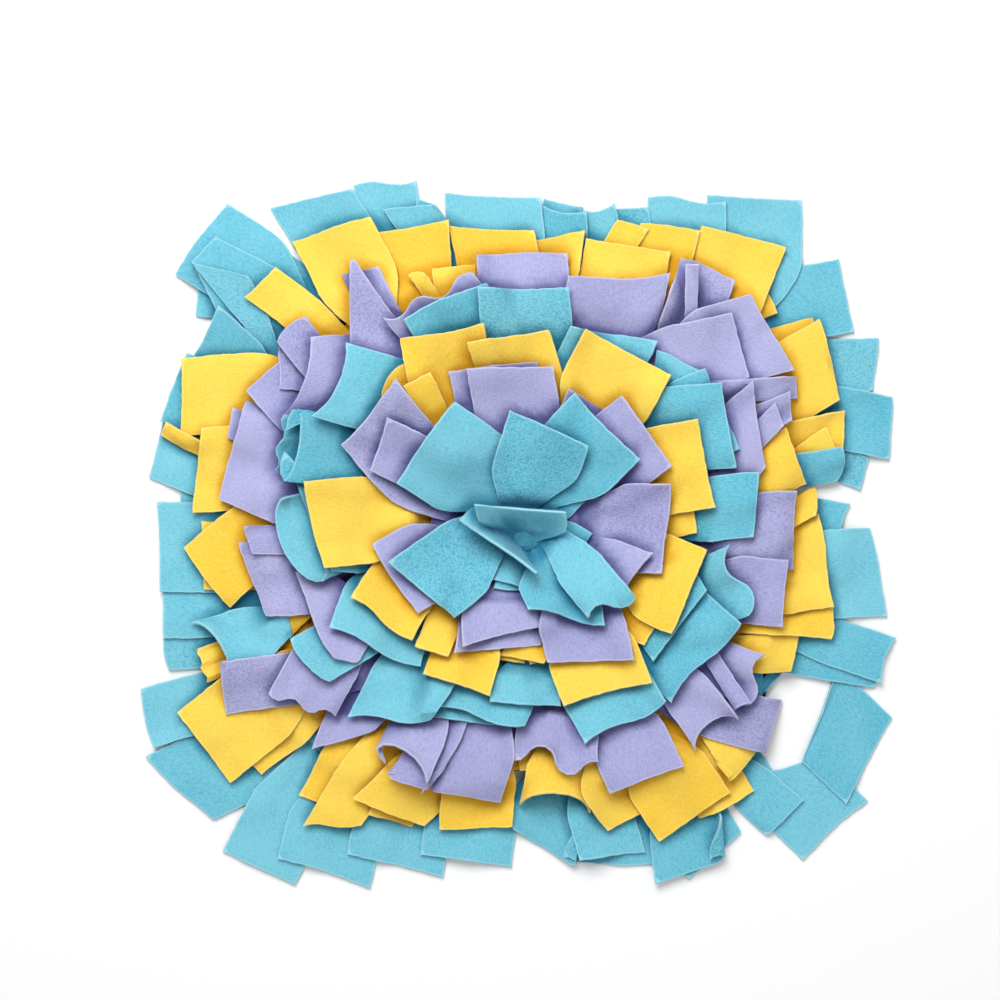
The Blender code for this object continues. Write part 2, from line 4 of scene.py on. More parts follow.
import bpy
import numpy as np
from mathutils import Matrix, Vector


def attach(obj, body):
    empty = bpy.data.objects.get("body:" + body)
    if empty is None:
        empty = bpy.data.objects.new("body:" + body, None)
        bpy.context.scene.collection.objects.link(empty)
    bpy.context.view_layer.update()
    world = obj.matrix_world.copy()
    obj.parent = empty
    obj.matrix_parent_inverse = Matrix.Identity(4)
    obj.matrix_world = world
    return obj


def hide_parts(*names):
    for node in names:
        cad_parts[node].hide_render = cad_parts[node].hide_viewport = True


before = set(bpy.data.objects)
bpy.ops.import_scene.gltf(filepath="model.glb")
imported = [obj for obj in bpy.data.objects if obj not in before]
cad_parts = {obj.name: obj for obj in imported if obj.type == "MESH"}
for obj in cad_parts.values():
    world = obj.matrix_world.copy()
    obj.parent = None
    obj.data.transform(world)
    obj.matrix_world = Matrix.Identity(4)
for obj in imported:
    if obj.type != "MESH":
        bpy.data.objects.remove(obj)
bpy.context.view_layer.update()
print("frame loaded:", len(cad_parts), "nodes")

# The tables and the laying are in millimetres, the meshes in metres.
mm = 0.001

# tipX, tipY: middle of the cut end, from the middle of the base. heading: the way it points there, in
# degrees from +X. face: which side of the fleece is up, nap or rough. A petal that is late came to lie
# over the next ring's, up to the one that is overLate there, and both have their nap up.
Petal = namedtuple("Petal", "tipX tipY heading width fold face", defaults=("flat", "nap"))
Root = namedtuple("Root", "place width height")
Ring = namedtuple("Ring", "node half corner root spacing lift colour petals")

# How a petal lies. arc: turn of its cross-section to each side, + with the middle up. snake: turn of an
# S in the cross-section, of so many waves. hookLeft, hookRight: how far a side rolls up and over.
# pitch: how steeply the cut end rises. lean: roll of the cut end. curl: how far the cut end turns back.
# lift: height of the cut end over its support. ripple: height of the small waves at the cut end.
# waist: width at waistAt of the length, 0 where the petal has none, from which it takes spread to regain
# its width. sidestep: how far it swings aside midway. squash: how much of its cross-section's height
# is left under the weight of the cloth.
Fold = namedtuple(
    "Fold",
    "arc snake waves hookLeft hookRight pitch lean curl lift ripple waist waistAt spread sidestep squash",
    defaults=(0, 0, 1.0, 0, 0, 0, 0, 0, 3, 2.0, 0, 0.4, 0.6, 0, 1.0),
)
folds = {
    "flat": Fold(arc=8, snake=8),
    "low": Fold(arc=4, lift=0.5),
    "bowed": Fold(arc=32, snake=8),
    "cupped": Fold(arc=-34, snake=12, pitch=18, lift=4),
    "trough": Fold(arc=-62, pitch=20, lift=4),
    "tented": Fold(arc=58, lift=4),
    "arched": Fold(arc=80, pitch=12),
    "rolled": Fold(arc=100, pitch=16, lift=4),
    "leansLeft": Fold(arc=-12, lean=-18),
    "leansRight": Fold(arc=-12, lean=18),
    "curled": Fold(arc=6, curl=75),
    "pointed": Fold(arc=66, lift=8, waist=42, waistAt=0.35, spread=0.65),
    "standing": Fold(arc=-14, lift=14, ripple=1.0),
    "foldedOver": Fold(arc=-10, hookRight=255, pitch=38, lift=4),
    "mouth": Fold(arc=100, hookLeft=-105, hookRight=-125, pitch=44, lift=4, squash=0.52),
    "archway": Fold(arc=136, snake=26, pitch=42, lift=4, squash=0.8),
    "creased": Fold(snake=74, waves=1.5, pitch=46, lift=5),
    "curlUp": Fold(arc=20, hookLeft=60, hookRight=330, pitch=48, lift=5),
    "snakeLeft": Fold(snake=62, pitch=42, lift=5),
    "snakeRight": Fold(snake=-62, pitch=42, lift=5),
    "ruffled": Fold(snake=58, waves=2.0, pitch=38, lift=5),
    "hookLeft": Fold(arc=-10, hookLeft=230, pitch=30, lift=4),
    "scroll": Fold(arc=20, hookLeft=215, hookRight=235, pitch=26, lift=4),
    "tube": Fold(arc=-125, snake=20, pitch=34, lift=5, squash=0.8),
    "overLeft": Fold(arc=14, hookLeft=165, pitch=8, lift=4),
    "vault": Fold(arc=84, pitch=38, lift=4),
    "dipped": Fold(arc=46, pitch=42, lift=4),
    "bulged": Fold(arc=-52, pitch=40, lift=4),
    "rippled": Fold(snake=26, pitch=34, lift=4),
    "blade": Fold(snake=30, lean=-72, lift=9, ripple=3.0, waistAt=0.3, spread=0.5, sidestep=-5),
    "slim": Fold(arc=8, snake=8, waist=20, waistAt=0.3, spread=0.35),
    "widening": Fold(arc=6, waist=48, waistAt=0.5, spread=0.5),
    "fan": Fold(arc=-10, waist=7, waistAt=0.3, spread=0.7, lift=5),
    "neckedLeft": Fold(arc=4, waist=9, waistAt=0.47, spread=0.06, sidestep=33, lift=1.0),
    "neckedRight": Fold(arc=4, waist=12, waistAt=0.4, spread=0.15, sidestep=-9, lift=1.0),
}

outerPetals = (
    (-194, 151, 175, 49),
    (-193, 173, 144, 53),
    (-190, 166, 138, 21, "widening"),
    (-180, 154, 76, 34, "fan", "rough"),
    (-190, 115, 152, 40),
    (-205, 14, 179, 45, "low"),
    (-217, 55, 167, 50),
    (-209, 85, 159, 44),
    (-214, -69, 185, 30, "cupped", "rough"),
    (-215, -41, 184, 47),
    (-217, -10, 184, 54),
    (-184, -69, 215, 38, "vault", "late"),
    (-206, -154, 225, 55),
    (-225, -112, 193, 36, "cupped"),
    (-158, -201, 244, 48, "widening"),
    (-119, -203, 255, 58),
    (-77, -199, 257, 59),
    (-35, -196, 261, 55, "bowed"),
    (52, -199, 269, 49, "low"),
    (12, -187, 240, 43, "foldedOver"),
    (52, -193, 273, 40, "bowed"),
    (113, -194, 313, 43, "bowed"),
    (97, -201, 289, 44, "foldedOver"),
    (184, -178, 311, 53, "neckedRight"),
    (155, -171, 316, 31),
    (204, -137, 329, 59, "neckedLeft"),
    (211, -84, 344, 21, "low"),
    (214, -77, 341, 29),
    (190, -4, 354, 40, "dipped"),
    (211, -25, 13, 54),
    (202, 33, 345, 21, "leansLeft", "rough"),
    (187, 39, 356, 21, "bulged", "late"),
    (209, 98, 352, 32, "low", "rough"),
    (218, 60, 356, 38),
    (191, 139, 12, 45),
    (136, 197, 85, 57),
    (96, 196, 87, 47, "rippled"),
    (60, 191, 89, 27, "low", "rough"),
    (23, 194, 77, 24, "low"),
    (44, 191, 104, 20, "dipped"),
    (23, 190, 84, 28, "dipped"),
    (-19, 198, 88, 58),
    (-83, 206, 92, 38, "rippled"),
    (-59, 195, 75, 13, "low"),
    (-69, 191, 98, 31, "overLeft"),
    (-127, 197, 101, 51, "bowed"),
)

yellowOuterPetals = (
    (147, 135, 27, 15, "low"),
    (130, 174, 76, 52),
    (86, 180, 83, 36, "low"),
    (64, 181, 73, 20, "low"),
    (61, 168, 85, 51),
    (20, 174, 101, 32, "low"),
    (-20, 178, 87, 51),
    (-67, 179, 97, 45, "bowed"),
    (-42, 155, 99, 26),
    (-64, 150, 100, 10, "tube"),
    (-156, 146, 137, 26),
    (-115, 178, 110, 49, "bowed"),
    (-182, 82, 173, 46, "low"),
    (-203, 78, 179, 47),
    (-214, 60, 157, 9, "leansRight"),
    (-194, 35, 175, 51),
    (-191, -15, 185, 41, "low"),
    (-189, -29, 215, 45),
    (-191, -80, 195, 21, "ruffled"),
    (-159, -80, 248, 11, "leansLeft"),
    (-173, -127, 220, 50, "low"),
    (-190, -129, 216, 53),
    (-119, -163, 253, 33, "low"),
    (-114, -175, 274, 35, "rippled"),
    (-80, -172, 253, 28, "low"),
    (-81, -167, 247, 46, "bowed"),
    (-29, -177, 272, 44),
    (18, -160, 266, 41, "vault"),
    (74, -165, 294, 57),
    (120, -164, 296, 37, "low"),
    (100, -169, 303, 52),
    (130, -137, 317, 30, "hookLeft"),
    (160, -72, 350, 24, "bowed"),
    (181, -53, 0, 24, "curlUp"),
    (178, -18, 10, 56, "bowed"),
    (177, 100, 12, 54, "low"),
    (181, 101, 14, 50),
    (189, 59, 0, 24),
    (182, 52, 27, 21, "low"),
    (159, 44, 19, 36, "bowed", "overLate"),
    (172, 17, 0, 17, "curlUp"),
)

lavenderOuterPetals = (
    (-2, 163, 94, 54),
    (55, 148, 91, 60, "bowed"),
    (108, 154, 69, 35, "cupped", "rough"),
    (97, 155, 80, 8, "blade"),
    (145, 116, 30, 52, "slim"),
    (126, 108, 18, 40, "slim"),
    (160, 84, 5, 14, "low"),
    (156, 73, 4, 18, "low"),
    (149, 68, 23, 15, "low"),
    (136, 62, 12, 51),
    (158, 0, 358, 47, "low", "rough"),
    (152, -37, 355, 40, "bowed"),
    (147, -116, 340, 33, "low", "rough"),
    (135, -88, 336, 32, "snakeRight"),
    (127, -103, 298, 10, "rolled"),
    (110, -117, 311, 31, "vault"),
    (71, -146, 293, 47),
    (18, -135, 255, 49, "creased"),
    (-35, -157, 260, 42),
    (-68, -147, 252, 26, "scroll"),
    (-72, -138, 247, 35, "archway"),
    (-107, -124, 283, 39),
    (-178, -93, 187, 32, "low", "rough"),
    (-131, -103, 253, 41, "ruffled"),
    (-161, -29, 201, 47, "flat", "rough"),
    (-163, -6, 201, 18, "low"),
    (-124, -50, 207, 56, "cupped", "late"),
    (-174, 63, 175, 19, "low"),
    (-173, 47, 164, 61),
    (-154, 91, 132, 28),
    (-144, 96, 184, 27, "low", "rough"),
    (-138, 119, 133, 23, "bulged", "rough"),
    (-132, 89, 163, 50, "dipped"),
    (-97, 153, 97, 23, "low"),
    (-101, 158, 104, 3, "pointed", "rough"),
    (-56, 136, 115, 59, "ruffled"),
)

turquoiseInnerPetals = (
    (-47, 134, 115, 53, "cupped"),
    (-1, 141, 93, 54, "flat", "rough"),
    (89, 100, 63, 28, "low"),
    (52, 115, 80, 52),
    (115, 71, 22, 52, "low"),
    (118, 61, 11, 51),
    (135, 15, 355, 39),
    (125, -29, 13, 43, "snakeRight"),
    (105, -77, 319, 62, "rippled"),
    (90, -56, 325, 53),
    (59, -113, 297, 54, "rippled"),
    (-29, -113, 263, 52, "low"),
    (-28, -109, 260, 57, "rippled"),
    (0, -102, 265, 42),
    (-80, -111, 272, 50, "rippled"),
    (-127, -77, 221, 34, "trough"),
    (-88, -69, 245, 58, "rippled", "overLate"),
    (-132, -7, 217, 52, "tube"),
    (-124, 3, 203, 58, "low"),
    (-143, 51, 172, 33, "ruffled"),
    (-136, 50, 170, 42, "mouth"),
    (-112, 87, 158, 48, "dipped"),
)

yellowInnerPetals = (
    (-79, 87, 150, 26, "bulged"),
    (-48, 115, 102, 50),
    (-63, 88, 119, 18),
    (-10, 113, 98, 49),
    (60, 104, 62, 57, "bowed"),
    (99, 21, 5, 46, "low"),
    (105, 39, 12, 53),
    (81, -47, 332, 47, "low"),
    (96, -36, 339, 54, "bowed"),
    (48, -95, 286, 54),
    (-2, -76, 256, 27, "low"),
    (-40, -90, 254, 41, "bowed"),
    (-55, -71, 254, 21, "tented"),
    (-84, -52, 234, 44, "rippled"),
    (-124, 3, 196, 52, "bowed"),
)

lavenderInnerPetals = (
    (-22, -54, 256, 34, "low"),
    (-19, 96, 98, 53, "low"),
    (-9, 95, 92, 51),
    (-90, 68, 139, 50, "flat", "rough"),
    (-85, 50, 159, 33, "leansRight"),
    (-77, -29, 216, 49, "bowed"),
    (42, 73, 57, 40, "low"),
    (71, 58, 37, 51),
    (82, 1, 351, 53, "cupped", "rough"),
    (66, -25, 324, 29, "arched"),
    (-16, -70, 275, 51, "low"),
    (-11, -61, 282, 53, "curled"),
    (38, -77, 274, 51),
)

tuftPetals = (
    (-12, -31, 255, 28, "low"),
    (-59, 52, 144, 59, "bowed"),
    (47, 60, 46, 55),
    (14, 60, 67, 51, "bowed", "rough"),
    (-61, -35, 227, 51, "widening", "rough"),
    (24, -51, 259, 46, "rippled"),
    (50, -44, 297, 30, "snakeLeft"),
    (-16, -9, 235, 55, "standing"),
    (-3, 13, 84, 54, "standing"),
)

rings = (
    # outermost first, the order in which they are laid
    Ring("ring_outer_turquoise", 137, 44, 18, 20, 0.3, "turquoise", outerPetals),
    Ring("ring_outer_yellow", 115, 70, 17, 19, 0.7, "yellow", yellowOuterPetals),
    Ring("ring_outer_lavender", 95, 80, 15, 17, 1.0, "lavender", lavenderOuterPetals),
    Ring("ring_inner_turquoise", 72, 72, 18, 20, 1.0, "turquoise", turquoiseInnerPetals),
    Ring("ring_inner_yellow", 51, 51, 18, 20, 1.0, "yellow", yellowInnerPetals),
    Ring("ring_inner_lavender", 29, 29, 19, 15, 1.0, "lavender", lavenderInnerPetals),
    Ring("centre_tuft", 9, 9, 14, 4, 1.3, "turquoise", tuftPetals),
)


def unit(vector):
    return vector / np.maximum(np.linalg.norm(vector, axis=-1, keepdims=True), 1e-9)


def travelled(points):
    # how far along its row each point lies
    steps = np.linalg.norm(np.diff(points, axis=-2), axis=-1)
    return np.concatenate([0 * steps[..., :1], np.cumsum(steps, axis=-1)], axis=-1)


def smoothStep(value):
    value = np.clip(value, 0.0, 1.0)
    return value * value * (3 - 2 * value)


def roundedSquare(half, corner, step=6.0):
    turns = max(8, round(corner * math.pi / 2 / step))
    points = []
    for quarter in range(4):
        middle = math.pi / 4 + quarter * math.pi / 2
        centre = (half - corner) * math.sqrt(2) * np.array([math.cos(middle), math.sin(middle)])
        for turn in range(turns + 1):
            angle = (quarter + turn / turns) * math.pi / 2
            points.append(centre + corner * np.array([math.cos(angle), math.sin(angle)]))
    points = np.array(points)
    apart = np.linalg.norm(points - np.roll(points, 1, axis=0), axis=1)
    return points[apart > 0.01]


# A petal's root is where the seam costs least: the distance aside of its heading, a little for its length,
# more for what passes the usual length, and a charge where it would be too short.
seamSizes = {"step": 0.5, "length": 0.1, "usual": 80.0, "beyond": 1.2, "shortest": 8.0, "charge": 200.0}


class Seam:
    def __init__(self, half, corner):
        outline = roundedSquare(half, corner)
        self.points = np.vstack([outline, outline[:1]])
        self.marks = travelled(self.points)
        self.length = self.marks[-1]

    def at(self, distance):
        distance = np.mod(distance, self.length)
        x = np.interp(distance, self.marks, self.points[:, 0])
        y = np.interp(distance, self.marks, self.points[:, 1])
        return np.stack([x, y], axis=-1)

    def ahead(self, place, step=1.0):
        return unit(self.at(place + step) - self.at(place - step))

    def rootOf(self, tip, heading):
        sizes = seamSizes
        distance = np.arange(0.0, self.length, sizes["step"])
        away = tip - self.at(distance)
        reach = np.linalg.norm(away, axis=1)
        forward = away @ heading
        aside = np.abs(away[:, 0] * heading[1] - away[:, 1] * heading[0])
        cost = aside + sizes["beyond"] * np.maximum(0, reach - sizes["usual"]) + sizes["length"] * reach
        cost += np.where(forward < sizes["shortest"], sizes["charge"], 0.0)
        return distance[np.argmin(cost)]


class Pile:
    # how high the petals stand in each cell of a square grid
    def __init__(self, cell=1.0, half=290.0):
        self.cell, self.half = cell, half
        self.size = int(2 * half / cell)
        self.top = np.full((self.size, self.size), -fleeceSizes["gap"])

    def cells(self, points):
        places = ((points[..., :2] + self.half) / self.cell).astype(int)
        return np.clip(places, 1, self.size - 2)

    def under(self, points):
        cells = self.cells(points)
        return self.top[cells[..., 0], cells[..., 1]]

    def cover(self, half, corner, width, height):
        middles = (np.arange(self.size) + 0.5) * self.cell - self.half
        x, y = np.meshgrid(middles, middles, indexing="ij")
        x, y = np.abs(x) - (half - corner), np.abs(y) - (half - corner)
        out = np.hypot(np.maximum(x, 0), np.maximum(y, 0)) + np.minimum(np.maximum(x, y), 0) - corner
        covered = (out < self.cell) & (out > -width - self.cell)
        self.top[covered] = np.maximum(self.top[covered], height)

    def coverBand(self, ring):
        edge = bandSizes["width"] / 2
        height = bandSizes["floor"] + bandSizes["height"]
        self.cover(ring.half + edge, ring.corner + edge, bandSizes["width"], height)

    def raiseTo(self, other):
        np.maximum(self.top, other.top, out=self.top)

    def add(self, points):
        points = points.reshape(-1, 3)
        cells = self.cells(points)
        for aside in (-1, 0, 1):
            for ahead in (-1, 0, 1):
                np.maximum.at(self.top, (cells[:, 0] + aside, cells[:, 1] + ahead), points[:, 2])


def cutEnd(petal):
    heading = math.radians(petal.heading)
    return np.array([petal.tipX, petal.tipY], float), np.array([math.cos(heading), math.sin(heading)])


rootSizes = {
    "zone": 15.0,  # petals of one ring may merge this close to their seam
    "share": 0.4,  # and no further than this share of their length
    "lowest": 0.95,  # middle of the lowest root over the band's underside
    "step": 2.0,
    "levels": 3,
    "sideBySide": 1.5,
    "alongSeam": 0.35,
    "crowding": 0.97,
    "nudge": 0.4,
    "turns": 300,
}


def rootsOf(petals, seam, width, spacing):
    sizes = rootSizes
    places = np.array([seam.rootOf(*cutEnd(petal)) for petal in petals])
    order = np.argsort(places, kind="stable")
    pitch = min(spacing, sizes["crowding"] * seam.length / len(petals))
    row = places[order]
    for _ in range(sizes["turns"]):
        gaps = np.append(row[1:], row[0] + seam.length) - row
        push = np.maximum(pitch - gaps, 0) * sizes["nudge"]
        row += np.roll(push, 1) - push
    places[order] = row
    roots = []
    half = seam.length / 2
    lowest = bandSizes["floor"] + sizes["lowest"]
    heights = [lowest + level * sizes["step"] for level in range(sizes["levels"])]
    for place in places:
        apart = [abs((place - other.place + half) % seam.length - half) for other in roots]
        met = [other.height for other, away in zip(roots, apart) if away < sizes["sideBySide"] * width]
        above = [height for height in heights if height > max(met, default=0)]
        free = [height for height in heights if height not in met]
        roots.append(Root(place, width, (above or free or heights)[0]))
    return roots


underSizes = {"spacing": 22.0, "fewest": 5, "reach": 27.0, "width": 30.0, "root": 20.0, "widest": 120.0}


def underPetals(seam):
    # short strips that close the space between a seam and the next one out
    sizes = underSizes
    count = max(sizes["fewest"], round(seam.length / sizes["spacing"]))
    petals, roots = [], []
    for step in range(count):
        place = (step + 0.5) * seam.length / count
        outward = seam.ahead(place, 2.0)[::-1] * (1, -1)
        tip = seam.at(place) + outward * sizes["reach"]
        heading = math.degrees(math.atan2(outward[1], outward[0]))
        petals.append(Petal(*tip, heading, sizes["width"], "low"))
        roots.append(Root(place, sizes["root"], bandSizes["floor"] + rootSizes["lowest"]))
    return petals, roots


fleeceSizes = {
    "thick": 1.5,
    "gap": 0.3,
    "rowStep": 3.3,  # between the points of a petal, along it and across it
    "columnStep": 3.2,
    "fewest": (8, 6),
    "finer": 4,  # steps between two points where a denser table is needed
    "growth": 2.0,
    "rollsFrom": 0.3,
    "rollGrowth": 1.2,
    "crowding": 1.15,  # rows lie closer together towards the root
    "widens": 0.6,  # share of the length over which a petal spreads to its full width
    "curlLength": 15.0,
    "whole": 45.0,  # narrower petals have smaller waves, corners and slips
    "waves": (0.3, 0.9),
    "corners": (-0.6, 1.0),
    "rippleGrowth": 1.5,
    "cornerGrowth": 6,
    "slipGrowth": 4,
    "rimInset": 0.3,
    "nicks": 0.45,  # how deep the scissors stray
    "stiff": 0.55,  # how much of its neighbours' height a point takes over in each round
    "turns": 46,
    "spans": 5,  # rounds in which a petal then bridges its last small dips
    "fall": 0.55,  # drop per round, more where the pile is higher than highPile
    "highPile": 12.0,
    "above": 2.0,  # over the pile, before the petal falls
    "cornerLift": 5.0,
    "bend": 3.5,  # how far a petal's middle strays from the straight line
    "cutSlip": 1.3,  # how uneven the scissors left the end
    "leastEdge": 0.45,  # no point but those of the rim counts as nearer to the edge
    "sharpAbove": 42.0,
    "patternSize": 0.01,
    "patternField": 1000.0,
    "patternStep": (137.0, 311.0),  # from one petal to the next
    "patternUnder": (400.0, 200.0),
    "patternRing": 50,
    "seed": 40,
}


def section(fold, grown, half, columns):
    # across a strip: how far aside and how high each point lies, the curve's width as seen from above
    sizes = fleeceSizes
    t = np.linspace(-1, 1, (columns - 1) * sizes["finer"] + 1)
    roll = np.maximum(0, (np.abs(t) - sizes["rollsFrom"]) / (1 - sizes["rollsFrom"])) ** sizes["rollGrowth"]
    turn = fold.arc * t + fold.snake * np.cos(math.pi * fold.waves * t)
    turn += roll * np.where(t < 0, fold.hookLeft, -fold.hookRight)
    angle = np.radians(turn)[None, :] * grown[:, None]
    aside = np.cumsum(np.cos(angle), axis=1)
    relief = -np.cumsum(np.sin(angle), axis=1)
    low, high = aside.min(axis=1, keepdims=True), aside.max(axis=1, keepdims=True)
    scale = 2 * half[:, None] / (high - low)
    aside = (aside - (low + high) / 2) * scale
    relief = relief * scale
    return aside[:, :: sizes["finer"]], relief[:, :: sizes["finer"]] * fold.squash


def petalPlan(petal, root, seam, chance):
    # a petal before it falls on the pile: x, y and its own relief, in rows and columns
    sizes = fleeceSizes
    fold = folds[petal.fold]
    tip, heading = cutEnd(petal)
    left = np.array([-heading[1], heading[0]])
    middle = seam.at(root.place)
    reach = np.linalg.norm(tip - middle)
    tangent = seam.ahead(root.place)
    crosswise = np.array([middle[1] - tip[1], tip[0] - middle[0]]) / reach
    tangent = tangent * math.copysign(1.0, tangent @ crosswise)
    gathered = unit(tangent * rootSizes["alongSeam"] + crosswise * (1 - rootSizes["alongSeam"]))
    fewestRows, fewestColumns = sizes["fewest"]
    rows = max(fewestRows, round(reach / sizes["rowStep"]) + 1)
    columns = max(fewestColumns, round(max(petal.width, fold.waist) / sizes["columnStep"]) + 1)
    stations = (np.arange(rows) / (rows - 1)) ** sizes["crowding"]
    s, t = np.meshgrid(stations, np.linspace(-1, 1, columns), indexing="ij")
    share, rise = s, np.zeros_like(s)
    if fold.curl:
        curl = math.radians(fold.curl)
        radius = sizes["curlLength"] / curl
        straight = reach - radius * math.sin(curl)
        bendAt = straight / (straight + sizes["curlLength"])
        turned = np.maximum(0, s - bendAt) / (1 - bendAt) * curl
        share = (straight * np.minimum(1, s / bendAt) + radius * np.sin(turned)) / reach
        rise = radius * (1 - np.cos(turned))
    along = share[:, 0]
    grown = along ** sizes["growth"]
    width = root.width + (petal.width - root.width) * smoothStep(along / sizes["widens"])
    if fold.waist:
        knots = (0, fold.waistAt, fold.waistAt + fold.spread, 2)
        width = np.interp(along, knots, (root.width, fold.waist, petal.width, petal.width))
    aside, relief = section(fold, grown, width / 2, columns)
    pitch = np.radians(fold.pitch) * grown
    rise = rise + (np.cumsum(np.tan(pitch)) * reach / rows)[:, None]
    tilted = relief * np.sin(pitch)[:, None]
    relief = relief * np.cos(pitch)[:, None] + rise + aside * np.tan(np.radians(fold.lean) * grown)[:, None]
    # what no two petals share: a slow wave, a corner that turns up, a cut that isn't quite square
    phase, turns = chance.uniform(0, 2 * math.pi), chance.uniform(*sizes["waves"])
    slant = chance.choice((-1, 1))
    size = min(1.0, petal.width / sizes["whole"])
    ripple = np.sin(math.pi * (slant * t + turns * s) + phase)
    relief += fold.ripple * size * ripple * share ** sizes["rippleGrowth"]
    corners = chance.uniform(*sizes["corners"], 2) * sizes["cornerLift"] * size
    turnedUp = corners[0] * ((1 + t) / 2) ** 3 + corners[1] * ((1 - t) / 2) ** 3
    relief += turnedUp * share ** sizes["cornerGrowth"]
    slip = chance.normal(0, 0.5, 3) * sizes["cutSlip"] * size
    ahead = slip[0] * t + slip[1] * t * t + slip[2] * np.sin(3 * t + phase) * 0.5
    ahead = ahead * share ** sizes["slipGrowth"]
    ahead = ahead - tilted + (tilted.max(axis=1) + tilted.min(axis=1))[:, None] / 2
    stray = chance.normal(0, 0.5) * sizes["bend"] * 4 * share * (1 - share)
    if fold.sidestep:
        knots = (0, 0.1, fold.waistAt, fold.waistAt + fold.spread, 1)
        stray = stray + np.interp(share, knots, np.array((0, 1, 1, 0.2, 0)) * fold.sidestep)
    across = unit(gathered * (1 - share)[..., None] + left * share[..., None])
    points = np.zeros(s.shape + (3,))
    points[..., :2] = middle * (1 - share)[..., None] + tip * share[..., None]
    points[..., :2] += across * aside[..., None] + heading * ahead[..., None] + left * stray[..., None]
    points[..., 2] = relief - relief.min(axis=1, keepdims=True)
    return points


def blurred(table):
    # each height averaged with its neighbours', along the petal and then across it
    for axis in (0, 1):
        ends = [(0, 0), (0, 0)]
        ends[axis] = (1, 1)
        padded = np.pad(table, ends, mode="reflect", reflect_type="odd")
        before = np.take(padded, range(0, table.shape[axis]), axis=axis)
        after = np.take(padded, range(2, table.shape[axis] + 2), axis=axis)
        table = table / 2 + (before + after) / 4
    return table


def normalsOf(points):
    along = np.gradient(points, axis=0)
    across = np.gradient(points, axis=1)
    return unit(np.cross(along, across))


def finer(points):
    # a denser table of points by straight interpolation
    times = fleeceSizes["finer"]
    rows, columns = points.shape[:2]
    row = np.linspace(0, rows - 1, (rows - 1) * times + 1)
    column = np.linspace(0, columns - 1, (columns - 1) * times + 1)
    low, high = np.floor(row).astype(int), np.ceil(row).astype(int)
    points = points[low] + (points[high] - points[low]) * (row - low)[:, None, None]
    low, high = np.floor(column).astype(int), np.ceil(column).astype(int)
    return points[:, low] + (points[:, high] - points[:, low]) * (column - low)[None, :, None]


def drape(points, relief, rootHeight, floor, fall):
    # let the petal down on what lies under it, stiff enough to span small hollows
    sizes = fleeceSizes
    lowest = floor - relief
    height = points[..., 2] - relief
    for turn in range(sizes["turns"]):
        height = height + (blurred(height) - height) * sizes["stiff"]
        height = height - fall * (1 - turn / sizes["turns"])
        height = np.maximum(height, lowest)
        height[0] = rootHeight
    for _ in range(sizes["spans"]):
        height[1:] = np.maximum(height, blurred(height))[1:]
    points[..., 2] = height + relief
    points[0, :, 2] = rootHeight


def floorUnder(points, fromOwn, others, own):
    # the height that each point rests on: the highest thing within half a cell of the petal's own grid
    sizes = fleeceSizes
    times = sizes["finer"]
    dense = finer(points)
    under = others.under(dense)
    ownRows = np.repeat(fromOwn, times)[: dense.shape[0], None]
    under = np.where(ownRows, np.maximum(under, own.under(dense)), under)
    rows, columns = np.arange(points.shape[0]) * times, np.arange(points.shape[1]) * times
    best = np.full(points.shape[:2], -np.inf)
    for aside in range(-(times // 2), times // 2 + 1):
        for ahead in range(-(times // 2), times // 2 + 1):
            row = np.clip(rows + aside, 0, dense.shape[0] - 1)
            column = np.clip(columns + ahead, 0, dense.shape[1] - 1)
            best = np.maximum(best, under[np.ix_(row, column)])
    return best + sizes["gap"] + sizes["thick"] / 2


def lay(petal, ring, root, seam, others, own, chance):
    sizes = fleeceSizes
    points = petalPlan(petal, root, seam, chance)
    relief = points[..., 2].copy()
    places = travelled(points[:, points.shape[1] // 2, :2])
    pastRoot = places >= min(rootSizes["zone"], rootSizes["share"] * places[-1])
    floor = floorUnder(points, pastRoot, others, own)
    points[..., 2] = relief + np.maximum(floor.max() + sizes["above"], root.height)
    drape(points, relief, root.height, floor, sizes["fall"] * max(1.0, floor.max() / sizes["highPile"]))
    swell = folds[petal.fold].lift * ring.lift * (places / places[-1]) ** 2
    points[..., 2] += swell[:, None]
    own.add(finer(points + normalsOf(points) * sizes["thick"] / 2))
    own.add(finer(points))
    return points, places


def petalFaces(rows, columns):
    # a petal's two faces and its rim, whose vertices follow those of the faces
    index = np.arange(rows * columns).reshape(rows, columns)
    quads = np.stack([index[:-1, :-1], index[1:, :-1], index[1:, 1:], index[:-1, 1:]], axis=-1).reshape(-1, 4)
    loop = np.concatenate([index[:-1, 0], index[-1, :-1], index[:0:-1, -1], index[0, :0:-1]])
    count = rows * columns
    rim = 2 * count + np.arange(len(loop))
    after = np.roll(np.arange(len(loop)), -1)
    upper = np.stack([rim, rim[after], loop[after], loop], axis=-1)
    lower = np.stack([loop + count, loop[after] + count, rim[after], rim], axis=-1)
    return np.vstack([quads, quads[:, ::-1] + count, upper, lower]), loop


# painted shade, around each point: how far to look, in so many ways, and how much of a rise counts for
# nothing
paintedShadeSizes = {
    "reaches": (3.0, 7.0, 14.0),
    "ways": 10,
    "turn": 7.0,  # sets the ways of one reach between those of the next
    "spare": 2.0,
    "open": 0.12,  # share of the surroundings that may rise before it counts, and at which a fold is deep
    "deep": 0.5,
    "most": 0.85,
}


